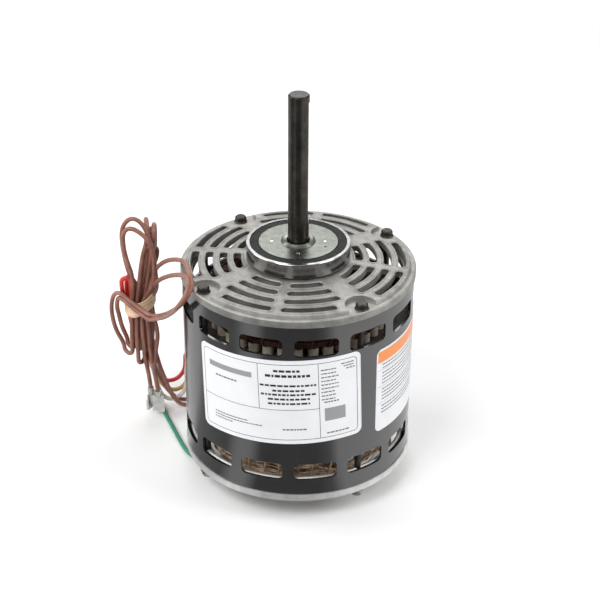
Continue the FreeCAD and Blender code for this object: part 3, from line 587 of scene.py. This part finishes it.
EXIT_RED = [(-61.9, 45.0, 38.9), (-66.4, 48.5, 40.4), (-70.8, 53.0, 42.2), (-74.6, 58.2, 41.2),
            (-76.6, 63.6, 36.6), (-76.8, 67.6, 29.6), (-77.6, 69.2, 21.6), (-81.8, 68.4, 15.4),
            (-88.2, 66.8, 13.6), (-94.0, 65.0, 17.2), (-98.2, 63.8, 24.2), (-101.2, 63.0, 32.4),
            (-103.6, 61.8, 40.4), (-104.8, 59.4, 48.0)]
RIM_LOOP_1 = [(-94.0, 48.0, 106.5), (-91.2, 43.0, 114.6), (-87.2, 36.5, 121.4), (-82.3, 26.5, 129.0),
              (-76.2, 12.0, 137.5), (-70.2, -4.0, 145.2), (-66.9, -14.0, 147.4), (-65.3, -23.0, 148.1),
              (-63.4, -30.0, 145.4), (-62.6, -35.0, 143.8), (-64.8, -38.2, 140.6), (-68.2, -37.0, 134.4),
              (-72.5, -31.0, 127.0), (-77.3, -14.0, 115.2), (-82.1, 3.5, 103.3), (-89.6, 20.0, 92.1),
              (-95.4, 28.6, 88.0), (-102.4, 35.0, 89.4), (-109.2, 38.6, 93.0), (-115.2, 42.6, 96.6)]
RIM_LOOP_2 = [(-95.0, 47.5, 98.0), (-91.6, 40.5, 105.3), (-86.9, 28.5, 114.7), (-82.0, 17.0, 122.6),
              (-77.9, 5.0, 130.0), (-74.2, -7.0, 136.8), (-70.8, -19.0, 143.4), (-66.8, -27.5, 147.2),
              (-64.6, -33.0, 146.0), (-65.2, -37.5, 143.2), (-67.0, -40.0, 139.2), (-69.8, -39.0, 134.2),
              (-73.4, -34.0, 127.4), (-78.0, -21.0, 117.0), (-83.5, -5.0, 105.6), (-89.6, 12.0, 95.0),
              (-95.0, 25.4, 86.0), (-100.8, 33.6, 85.4), (-107.4, 37.8, 88.2), (-113.2, 41.6, 91.8),
              (-117.4, 46.5, 91.4)]
LEFT_DOWN_1 = [(-119.6, 46.6, 94.0), (-122.2, 49.0, 86.0), (-122.6, 50.0, 76.0), (-120.6, 50.0, 64.5)]
LEFT_DOWN_2 = [(-119.0, 50.2, 82.0), (-118.0, 51.5, 75.0), (-116.6, 51.5, 66.0)]
CROWN_LOOP_A = [(-109.4, 48.5, 106.5), (-111.6, 47.5, 119.0), (-112.8, 46.0, 132.0), (-112.4, 46.0, 140.6),
                (-109.8, 45.5, 146.2), (-105.7, 45.0, 149.4), (-100.9, 44.5, 147.8), (-97.2, 44.0, 142.6),
                (-94.4, 43.0, 134.1), (-92.2, 42.0, 122.4), (-91.7, 42.0, 110.8), (-91.2, 44.5, 99.0)]
CROWN_LOOP_B = [(-106.9, 44.0, 102.1), (-107.4, 43.5, 110.9), (-109.5, 43.0, 118.4), (-111.0, 42.5, 126.4),
                (-111.5, 42.0, 133.3), (-111.3, 42.0, 139.0), (-109.4, 42.0, 142.7), (-105.5, 41.5, 143.9),
                (-100.9, 41.0, 141.5), (-96.4, 41.0, 137.1), (-93.5, 41.0, 131.6), (-92.1, 40.5, 123.2),
                (-92.4, 41.5, 112.8), (-93.4, 44.0, 102.5)]
RED_FOLD = [(-112.6, 49.0, 88.5), (-114.3, 46.6, 95.0), (-114.4, 45.4, 100.4), (-114.4, 45.3, 104.7),
            (-111.4, 45.2, 106.4), (-108.5, 45.3, 104.7), (-108.5, 45.6, 99.6), (-108.5, 46.2, 94.0),
            (-108.5, 46.3, 88.0), (-110.3, 48.7, 85.4), (-112.0, 51.0, 88.0), (-112.0, 51.0, 94.5),
            (-112.0, 51.0, 101.0), (-110.8, 53.3, 103.6), (-109.5, 55.6, 101.0), (-109.0, 55.4, 94.5),
            (-108.0, 54.6, 88.0)]
TAIL_1 = [(-102.2, 45.4, 48.0), (-100.4, 45.0, 38.5), (-99.4, 46.0, 29.0), (-99.0, 47.2, 21.5)]
TAIL_2 = [(-92.0, 45.6, 64.0), (-94.0, 44.6, 53.0), (-95.8, 43.8, 39.0), (-94.8, 43.6, 29.0),
          (-94.0, 44.2, 20.5)]
GREEN_ROUTE = [(-93.4, 60.0, 1.6), (-91.6, 51.0, 1.6), (-87.6, 39.0, 1.6), (-82.4, 26.0, 1.6),
               (-78.0, 14.0, 1.6), (-73.6, 3.0, 1.8), (-68.6, -6.6, 3.4), (-64.0, -13.6, 6.6),
               (-59.5, -20.0, 9.2)]


def seat(row, place):
    """A wire's seat in the tied bundle: the row from the front, the place from the middle."""
    return np.array([place * PACK, (row - MIDDLE_ROW) * ROW_PACK])


def hank_point(spot, height, wander=0.0):
    """The bundle's axis at that height, plus the seat times the spread there, plus a little wander."""
    axis = np.array([np.interp(height, HANK_HEIGHTS, HANK_X), np.interp(height, HANK_HEIGHTS, HANK_Y)])
    spread = np.interp(height, HANK_HEIGHTS, HANK_SPREAD)
    place = axis + spread * spot + LEAD_RNG.uniform(-wander, wander, 2)
    return (*place, height)


def hank_pass(spot, low, high, upward):
    """Points of one pass through the bundle, between the two heights."""
    stations = [z for z in HANK_STATIONS if low < z < high]
    points = [hank_point(spot, z, 0.0 if BAND_LOW < z < BAND_HIGH else WANDER) for z in stations]
    return points if upward else points[::-1]


def hank_fold(first, second, height, half, middle=None):
    """A round turn from one seat to the next: a half hexagon's corners round a half circle, and legs."""
    one = np.array(hank_point(first, height)[:2])
    two = np.array(hank_point(second, height)[:2])
    centre = (one + two) / 2 if middle is None else np.array(middle)
    across = (two - one) / np.linalg.norm(two - one) * half
    inward = half if height < TIE_HEIGHT else -half
    return [(*(centre + side * across), height + rise * inward) for side, rise in FOLD_CORNERS]


def hank_run(seats, folds, end):
    """Passes up and down the bundle with a fold after each, and the last one up or down to the end."""
    points = []
    low = HANK_FOOT
    upward = True
    for k, spot in enumerate(seats):
        reach = folds[k][0] if k < len(folds) else end
        near, far = sorted((low, reach))
        points += hank_pass(spot, near + FOLD_ROOM, far - FOLD_ROOM, upward)
        if k < len(folds):
            points += hank_fold(spot, seats[k + 1], *folds[k])
        low = reach
        upward = not upward
    return points


def wire(name, points, finish, replaced):
    """One lead as a smooth spline along its route; the CAD pieces it replaces are hidden."""
    curve = bpy.data.curves.new(name, "CURVE")
    curve.dimensions = "3D"
    spline = curve.splines.new("NURBS")
    spline.points.add(len(points) - 1)
    flat = np.ones((len(points), 4))
    flat[:, :3] = np.array(points, dtype=float) * MM
    spline.points.foreach_set("co", flat.ravel())
    spline.order_u = 3
    spline.use_endpoint_u = True
    curve.resolution_u = 7
    curve.bevel_depth = WIRE_D * MM / 2
    curve.bevel_resolution = 3
    curve.use_fill_caps = True
    curve.materials.append(finish.material)
    piece = bpy.data.objects.new(name, curve)
    bpy.context.scene.collection.objects.link(piece)
    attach(piece, "motor")
    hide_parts(*replaced)
    return piece


LEAD_RNG = np.random.default_rng(SEED + 2)
ROW_A, ROW_B, ROW_C, ROW_D, ROW_E = range(5)

# Each run lists its seats and its folds: height, half width and, where the crown leans, the fold's middle
brown_1 = EXIT_BROWN_1 + hank_run(
    [seat(ROW_C, 1.5), seat(ROW_E, 1.5), seat(ROW_E, 0.5), seat(ROW_B, 1.0), seat(ROW_A, 1.5)],
    [(142.0, 4.5, (-92.2, 50.0)), (44.5, 3.6), (145.5, 5.0, (-96.9, 50.4)), (43.0, 3.6)], 104.0)
brown_1 += RIM_LOOP_1 + LEFT_DOWN_1 + hank_fold(np.array([-12.0, 0.0]), seat(ROW_A, -1.5), 48.0, 3.8)
brown_1 += hank_pass(seat(ROW_A, -1.5), 58.0, 98.0, True) + CROWN_LOOP_B
brown_1 += hank_pass(seat(ROW_A, 0.5), 50.0, 99.0, False) + TAIL_1

brown_2 = EXIT_BROWN_2 + hank_run(
    [seat(ROW_D, 2.0), seat(ROW_B, 0.0), seat(ROW_A, -0.5), seat(ROW_D, 1.0), seat(ROW_B, 2.0)],
    [(126.0, 4.5), (42.0, 3.8), (139.1, 5.0, (-94.6, 50.4)), (44.0, 3.6)], 96.0)
brown_2 += RIM_LOOP_2 + LEFT_DOWN_2 + hank_fold(np.array([-9.5, 2.0]), seat(ROW_B, -1.0), 51.0, 3.6)
brown_2 += hank_pass(seat(ROW_B, -1.0), 60.0, 101.0, True) + CROWN_LOOP_A
brown_2 += hank_pass(seat(ROW_C, 2.5), 72.0, 95.0, False) + TAIL_2

red = EXIT_RED + hank_run(
    [seat(ROW_E, -0.5), seat(ROW_D, -1.5), seat(ROW_C, -1.5)], [(97.0, 3.6), (51.0, 3.6)], 86.0) + RED_FOLD
white = EXIT_WHITE + hank_run(
    [seat(ROW_C, 0.5), seat(ROW_D, 0.0), seat(ROW_C, -0.5)], [(97.0, 4.0), (49.0, 3.6)], 96.0)
yellow = EXIT_YELLOW + hank_run(
    [seat(ROW_E, -1.5), seat(ROW_E, -0.5), seat(ROW_D, -0.5)], [(96.0, 3.6), (52.0, 3.6)], 94.0)

wire("brown_wire_1", brown_1, BROWN_WIRE,
     ("lead_brown_1", "lead_loop_1", "lead_tail_1", "lead_hank"))
wire("brown_wire_2", brown_2, BROWN_WIRE,
     ("lead_brown_2", "lead_loop_2", "lead_tail_2"))
wire("red_wire", red, RED_WIRE, ("lead_red",))
wire("white_wire", white, WHITE_WIRE, ("lead_white",))
wire("yellow_wire", yellow, YELLOW_WIRE, ("lead_yellow",))
wire("green_wire", GREEN_ROUTE[::-1], GREEN_WIRE, ("lead_green",))


# Windings: strands wound round the rings of end turns, and the lacing that ties them

CUFF = 6.0                  # the liners' cuffs stand this far out of the stack
SLOT_COUNT = 36
RING_INNER_R = 41.2
RING_SQUARENESS = 0.8       # 1 would be an ellipse, less is squarer
UPPER_RING = (STACK_TOP / MM + CUFF, WINDING_TOP / MM, 57.0)
LOWER_RING = (20.8, STACK_BOTTOM / MM - CUFF, 59.0)     # hangs lower and bulges further than the upper one
STRAND_COUNT = 64
STRAND_R = 0.48
TWINE_R = 0.62
TWINE_LIFT = 0.95
# Painted shade: the upper lacing twine is dark brown to match the shaded upper end turns.
DARK_TWINE = wire_insulation("dark_twine", (0.10, 0.05, 0.035))


def ring_section(low, high, outer):
    """The end-turn ring's rounded section: half a width times the cosine, and half a height times the sine,
    each to a power under 1, for an angle round the section."""
    inner = RING_INNER_R
    middle_r = (inner + outer) / 2
    middle_z = (low + high) / 2

    def at(angle, lift):
        half_r = (outer - inner) / 2 + lift
        half_z = (high - low) / 2 + lift
        c = np.cos(angle)
        s = np.sin(angle)
        radius = middle_r + half_r * np.sign(c) * np.abs(c) ** RING_SQUARENESS
        height = middle_z + half_z * np.sign(s) * np.abs(s) ** RING_SQUARENESS
        return radius, height
    return at


def tubes(name, centres, radius, finish, sides=5):
    """Round strands along closed centre lines (count, steps, 3): a circle across each line at every step."""
    ahead = np.roll(centres, -1, axis=1) - np.roll(centres, 1, axis=1)
    ahead /= np.linalg.norm(ahead, axis=2, keepdims=True)
    side = np.cross(ahead, np.array([0.0, 0.0, 1.0]))
    side /= np.maximum(np.linalg.norm(side, axis=2, keepdims=True), 1e-9)
    other = np.cross(side, ahead)
    turn = np.linspace(0, 2 * math.pi, sides, endpoint=False)
    rim = side[:, :, None] * np.cos(turn)[:, None] + other[:, :, None] * np.sin(turn)[:, None]
    points = centres[:, :, None] + radius * rim
    piece = many_grids(name, points, closed_rows=True, closed_columns=True)
    piece.data.materials.append(finish.material)
    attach(piece, "motor")
    return piece


def end_turn_strands(name, low, high, outer, finish, seed):
    """Strands round the ring, each at its own angle round the section, plus sines that make it waver."""
    rng = np.random.default_rng(seed)
    steps = 168
    around = np.linspace(0, 2 * math.pi, steps, endpoint=False)[None, :]
    start = np.linspace(0, 2 * math.pi, STRAND_COUNT, endpoint=False)[:, None]
    waver = np.zeros((STRAND_COUNT, steps))
    for wave in (2, 5, 9, 14):
        size = 0.26 / math.sqrt(wave) * rng.uniform(0.3, 1.0, (STRAND_COUNT, 1))
        waver += size * np.sin(wave * around + rng.uniform(0, 6.3, (STRAND_COUNT, 1)))
    lift = 0.10 + 0.45 * rng.random((STRAND_COUNT, 1))
    lift = lift + 0.2 * np.sin(11 * around + rng.uniform(0, 6.3, (STRAND_COUNT, 1)))
    radius, height = ring_section(low, high, outer)(start + waver, lift)
    centres = np.stack([radius * np.cos(around), radius * np.sin(around), height], axis=-1)
    tubes(name, centres * MM, STRAND_R * MM, finish)


def lacing(name, low, high, outer, finish, seed):
    """Twine round the ring, once per slot: the section's outline, moved round by a sine so that it leans."""
    rng = np.random.default_rng(seed)
    steps = 26
    angle = np.linspace(0, 2 * math.pi, steps, endpoint=False)[None, :]
    place = (np.arange(SLOT_COUNT) * 2 * math.pi / SLOT_COUNT)[:, None]
    place = place + rng.normal(0, 0.012, (SLOT_COUNT, 1))
    lean = rng.normal(0.03, 0.015, (SLOT_COUNT, 1))
    radius, height = ring_section(low, high, outer)(angle + np.zeros((SLOT_COUNT, 1)), TWINE_LIFT)
    around = place + lean * np.sin(angle)
    centres = np.stack([radius * np.cos(around), radius * np.sin(around), height], axis=-1)
    tubes(name, centres * MM, TWINE_R * MM, finish, sides=6)


# Upper strands and lacing take the painted-shade copper and twine; the lower ones take the painted-lit copy
# of the same copper.
end_turn_strands("upper_end_turn_strands", *UPPER_RING, COPPER, SEED + 3)
lacing("upper_end_turn_lacing", *UPPER_RING, DARK_TWINE, SEED + 4)
end_turn_strands("lower_end_turn_strands", *LOWER_RING, LIT_COPPER, SEED + 5)
lacing("lower_end_turn_lacing", *LOWER_RING, LIT_COPPER, SEED + 6)


# Tie band round the hank

BAND_THICK = 0.8
BAND_STRIPS = 1.9           # strips from the band's middle to an edge
STRIP_SWELL = 0.55
BAND_LEAN = (3.6, 4.0)      # how far the band rises to the right and to the back


def tie_band():
    """Rubber band wound in strips: a leaning ellipse whose radius swells once for each strip."""
    low, high = (np.array(corner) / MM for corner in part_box("lead_tie_band"))
    centre = (low + high) / 2
    half = (high - low) / 2
    turn = np.linspace(0, 2 * math.pi, 160, endpoint=False)[None, :]
    share = np.linspace(-1.0, 1.0, 34)[:, None]
    strip = np.abs(np.sin(math.pi * (BAND_STRIPS * share + 0.35 * np.sin(turn + 0.6))))
    swell = STRIP_SWELL * strip ** 0.6 - 0.5 * share ** 8 - BAND_THICK / 2
    height = centre[2] + half[2] * share + BAND_LEAN[0] * np.cos(turn) + BAND_LEAN[1] * np.sin(turn)
    height = height + 0.6 * share * np.sin(2 * turn + 0.8)
    points = np.stack([centre[0] + (half[0] + swell) * np.cos(turn),
                       centre[1] + (half[1] + swell) * np.sin(turn), height], axis=-1)
    piece = grid_piece("rubber_tie_band", points[::-1] * MM, closed_columns=True)
    thick = piece.modifiers.new("thickness", "SOLIDIFY")
    thick.thickness = BAND_THICK * MM
    thick.offset = -1.0
    piece.data.materials.append(TAN_BAND.material)
    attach(piece, "motor")
    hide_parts("lead_tie_band")


tie_band()


# Small forms of the castings and the cap: lips round the slots, the lower inner edge, bright tabs

SLOT_ROWS = ((37.0, 35.0), (45.6, 37.2), (54.4, 38.2), (63.2, 32.5))    # middle radius, half angle
SLOT_HALF = 2.6
RIB_HALF = 2.6
FIRST_RIB = 78.5        # degrees
PLATE_EDGE = (68.3, 6.75)       # radius, height over the shell's end
PLATE_CROWN = (34.0, 8.96)
LIP_R = 0.85
LIP_SINK = 0.35         # how far the bead's middle lies under the plate's face
LIP_OUT = 0.45          # and outside the slot's edge
LIP_CORNER = 1.6
LIP_STEPS = 22

EDGE_MIDDLE = 67.2
EDGE_HALF = 1.6
EDGE_FOOT = 22.0
EDGE_TOP = 30.2

TAB_RADIUS = 16.2
TAB_HALF = 1.15
TAB_UP = 19.35
TAB_CROWN = 0.3
TAB_ANGLES = (0.0, 90.0, 180.0, 270.0)
TAB_METAL = plain_metal("tab_metal", (0.92, 0.92, 0.90), 0.25)


def slot_lips(name, shell_end, outward):
    """Beads round the slots: each follows the slot's outline, on the crowned plate's slope."""
    beads = []
    for sector in range(4):
        rib = FIRST_RIB + 90.0 * sector
        for middle_r, half_angle in SLOT_ROWS:
            rib_angle = math.degrees(RIB_HALF / middle_r)
            for side in (-1, 1):
                start, end = np.radians(sorted((rib + side * rib_angle, rib + side * half_angle)))
                beads.append(slot_outline(middle_r, start, end))
    flat = np.array(beads)
    radius = flat[..., 0]
    slope = (PLATE_CROWN[1] - PLATE_EDGE[1]) / (PLATE_EDGE[0] - PLATE_CROWN[0])
    rise = PLATE_EDGE[1] + slope * (PLATE_EDGE[0] - radius) - LIP_SINK
    height = shell_end / MM + outward * rise
    centres = np.stack([radius * np.cos(flat[..., 1]), radius * np.sin(flat[..., 1]), height], axis=-1)
    tubes(name, centres * MM, LIP_R * MM, ALUMINIUM, sides=8)


def slot_outline(middle_r, start, end):
    """Radius and angle round one slot: out along its outer edge, round the end, and back inside."""
    outer = middle_r + SLOT_HALF + LIP_OUT
    inner = middle_r - SLOT_HALF - LIP_OUT
    turn = LIP_OUT / middle_r
    start -= turn
    end += turn
    along = np.linspace(start + LIP_CORNER / middle_r, end - LIP_CORNER / middle_r, LIP_STEPS)
    outside = np.stack([np.full(LIP_STEPS, outer), along], axis=1)
    across = np.linspace(outer - LIP_CORNER, inner + LIP_CORNER, 4)
    far_side = np.stack([across, np.full(4, end)], axis=1)
    inside = np.stack([np.full(LIP_STEPS, inner), along[::-1]], axis=1)
    near_side = np.stack([across[::-1], np.full(4, start)], axis=1)
    return np.concatenate([outside, far_side, inside, near_side])


def spigot_edge():
    """Inner edge of the lower casting, bright with the painted-lit aluminium: a round-topped ring, seen
    through the lower vents.
    """
    turn = np.linspace(0, 2 * math.pi, 180, endpoint=False)[None, :]
    over = np.linspace(0, math.pi, 13)
    top_radius = EDGE_MIDDLE + EDGE_HALF * np.cos(over)
    top_height = EDGE_TOP - EDGE_HALF * (1 - np.sin(over))
    radius = np.concatenate([top_radius[:1], top_radius, top_radius[-1:]])[:, None]
    height = np.concatenate([[EDGE_FOOT], top_height, [EDGE_FOOT]])[:, None]
    points = np.stack([radius * np.cos(turn), radius * np.sin(turn), height + 0.0 * turn], axis=-1)
    piece = grid_piece("lower_spigot_edge", points[::-1] * MM, closed_rows=True, closed_columns=True)
    piece.data.materials.append(ALUMINIUM_PAINTED_LIT.material)
    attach(piece, "motor")


def cap_tabs():
    """Bright square tabs in the cap's tool holes: each a small cushion, crowned at its middle."""
    share = np.linspace(-1.0, 1.0, 7)
    u, v = np.meshgrid(share, share, indexing="ij")
    crown = SHELL_TOP / MM + TAB_UP + TAB_CROWN * (1 - u ** 4) * (1 - v ** 4)
    tabs = []
    for angle in np.radians(TAB_ANGLES):
        out = TAB_RADIUS + TAB_HALF * u
        side = TAB_HALF * v
        tabs.append(np.stack([out * math.cos(angle) - side * math.sin(angle),
                              out * math.sin(angle) + side * math.cos(angle), crown], axis=-1))
    piece = many_grids("cap_tabs", np.array(tabs) * MM)
    piece.data.materials.append(TAB_METAL.material)
    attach(piece, "motor")


spigot_edge()
cap_tabs()
slot_lips("upper_slot_lips", SHELL_TOP, 1.0)
slot_lips("lower_slot_lips", SHELL_BOTTOM, -1.0)


# Camera, lamps and floor

CAMERA_PLACE = (0.0, -0.846, 0.5926)
CAMERA_FORWARD = (0.00124645, 0.87114803, -0.4910189)
CAMERA_RIGHT = (0.99998905, 0.0011288, 0.00454115)
SENSOR_WIDTH = 36.0
FOCAL_LENGTH = 94.24

LAMP_TARGET = (0.0, 0.0, 0.1)
# name, place, size and power of each lamp
LAMPS = (("key_lamp", (-0.55, -0.75, 1.15), (0.6, 0.6), 9.0),
         ("right_lamp", (0.95, -0.25, 0.75), (0.5, 0.9), 6.0),
         ("back_lamp", (0.1, 0.95, 0.95), (1.0, 0.5), 6.0),
         ("left_lamp", (-0.95, 0.15, 0.55), (0.5, 0.9), 5.0))
SOFT_LIGHT = 0.55

# Painted reflection: the glow that glossy rays see on the floor, by the angle in degrees round the object
# from the front
PAINTED_REFLECTION_STOPS = ((-180, 0.8), (-100, 0.95), (-90, 0.4), (-57, 0.28), (-47, 0.8), (-37, 0.8), (-28, 0.2),
               (14, 0.18), (24, 0.3), (33, 0.9), (95, 0.95), (180, 0.8))
# The floor turns plain white for the camera between these distances from the object's axis
NEAR_FLOOR = 0.35
FAR_FLOOR = 0.9
FLOOR_HALF = 3.0


def place_camera():
    """The camera that was solved from the photograph's circles."""
    data = bpy.data.cameras.new("camera")
    data.sensor_fit = "HORIZONTAL"
    data.sensor_width = SENSOR_WIDTH
    data.lens = FOCAL_LENGTH
    data.clip_start = 0.01
    data.clip_end = 50.0
    camera = bpy.data.objects.new("camera", data)
    bpy.context.scene.collection.objects.link(camera)
    forward = Vector(CAMERA_FORWARD)
    right = Vector(CAMERA_RIGHT)
    up = right.cross(forward)
    turn = Matrix((right, up, -forward)).transposed().to_4x4()
    camera.matrix_world = Matrix.Translation(CAMERA_PLACE) @ turn
    bpy.context.scene.camera = camera


def area_lamp(name, place, size, power):
    """A soft lamp that points at the object's middle."""
    data = bpy.data.lights.new(name, "AREA")
    data.shape = "RECTANGLE"
    data.size, data.size_y = size
    data.energy = power
    lamp = bpy.data.objects.new(name, data)
    lamp.location = place
    lamp.rotation_euler = (Vector(LAMP_TARGET) - Vector(place)).to_track_quat("-Z", "Y").to_euler()
    bpy.context.scene.collection.objects.link(lamp)


def seen_white(nodes, links, plain, white):
    """Mixes in plain white where the camera looks, straight or through glass."""
    path = nodes.new("ShaderNodeLightPath")
    either = nodes.new("ShaderNodeMath")
    either.operation = "MAXIMUM"
    links.new(path.outputs["Is Camera Ray"], either.inputs[0])
    links.new(path.outputs["Is Transmission Ray"], either.inputs[1])
    mix = nodes.new("ShaderNodeMixShader")
    links.new(either.outputs["Value"], mix.inputs["Fac"])
    links.new(plain, mix.inputs[1])
    links.new(white, mix.inputs[2])
    return mix.outputs["Shader"]


def studio():
    """An even pale surround, white to the camera, and four soft lamps."""
    world = bpy.data.worlds.new("studio")
    bpy.context.scene.world = world
    world.use_nodes = True
    nodes = world.node_tree.nodes
    links = world.node_tree.links
    soft = nodes["Background"]
    soft.inputs["Color"].default_value = (1.0, 1.0, 1.0, 1.0)
    soft.inputs["Strength"].default_value = SOFT_LIGHT
    white = nodes.new("ShaderNodeBackground")
    white.inputs["Color"].default_value = (1.0, 1.0, 1.0, 1.0)
    white.inputs["Strength"].default_value = 1.0
    links.new(seen_white(nodes, links, soft.outputs["Background"], white.outputs["Background"]),
              nodes["World Output"].inputs["Surface"])
    for lamp in LAMPS:
        area_lamp(*lamp)


def floor_with_painted_reflection(finish):
    """Painted reflection: glossy rays see the floor glow in a pattern by angle round the object, dark in
    front and bright to the sides; the camera doesn't.

    The camera sees the floor itself, which fades to plain white further out.
    """
    nodes, links = finish.nodes, finish.links
    parts = nodes.new("ShaderNodeSeparateXYZ")
    links.new(finish.place, parts.inputs["Vector"])
    ahead = nodes.new("ShaderNodeMath")
    ahead.operation = "MULTIPLY"
    ahead.inputs[1].default_value = -1.0
    links.new(parts.outputs["Y"], ahead.inputs[0])
    angle = nodes.new("ShaderNodeMath")
    angle.operation = "ARCTAN2"
    links.new(parts.outputs["X"], angle.inputs[0])
    links.new(ahead.outputs["Value"], angle.inputs[1])
    ramp = nodes.new("ShaderNodeValToRGB")
    stops = ramp.color_ramp.elements
    while len(stops) < len(PAINTED_REFLECTION_STOPS):
        stops.new(1.0)
    for stop, (degrees, level) in zip(stops, PAINTED_REFLECTION_STOPS):
        stop.position = (degrees + 180) / 360
        stop.color = (level, level, level, 1.0)
    links.new(finish.between(angle.outputs["Value"], -math.pi, math.pi, 0.0, 1.0), ramp.inputs["Fac"])
    # Painted reflection: this glow is what glossy rays see in place of the lit floor.
    painted_glow = nodes.new("ShaderNodeEmission")
    links.new(ramp.outputs["Color"], painted_glow.inputs["Color"])
    path = nodes.new("ShaderNodeLightPath")
    mix = nodes.new("ShaderNodeMixShader")
    links.new(path.outputs["Is Glossy Ray"], mix.inputs["Fac"])
    links.new(finish.shader.outputs["BSDF"], mix.inputs[1])
    links.new(painted_glow.outputs["Emission"], mix.inputs[2])
    distance = nodes.new("ShaderNodeVectorMath")
    distance.operation = "LENGTH"
    links.new(finish.place, distance.inputs[0])
    far = nodes.new("ShaderNodeMath")
    far.operation = "MULTIPLY"
    links.new(finish.between(distance.outputs["Value"], NEAR_FLOOR, FAR_FLOOR, 0.0, 1.0), far.inputs[0])
    links.new(path.outputs["Is Camera Ray"], far.inputs[1])
    white = nodes.new("ShaderNodeEmission")
    whole = nodes.new("ShaderNodeMixShader")
    links.new(far.outputs["Value"], whole.inputs["Fac"])
    links.new(mix.outputs["Shader"], whole.inputs[1])
    links.new(white.outputs["Emission"], whole.inputs[2])
    links.new(whole.outputs["Shader"], nodes["Material Output"].inputs["Surface"])


def floor():
    """A wide pale floor that still takes the object's shadow."""
    across = np.linspace(-FLOOR_HALF, FLOOR_HALF, 9)
    x, y = np.meshgrid(across, across, indexing="ij")
    piece = grid_piece("floor", np.stack([x, y, np.zeros_like(x)], axis=-1))
    finish = Finish("floor_paper", (0.86, 0.86, 0.86), 0.9)
    finish.bump(finish.noise(300.0, 2.0, 0.5), 0.00002)
    finish.value(Specular_IOR_Level=0.1)
    floor_with_painted_reflection(finish)
    piece.data.materials.append(finish.material)


place_camera()
studio()
floor()

bpy.context.scene.view_settings.view_transform = "Standard"
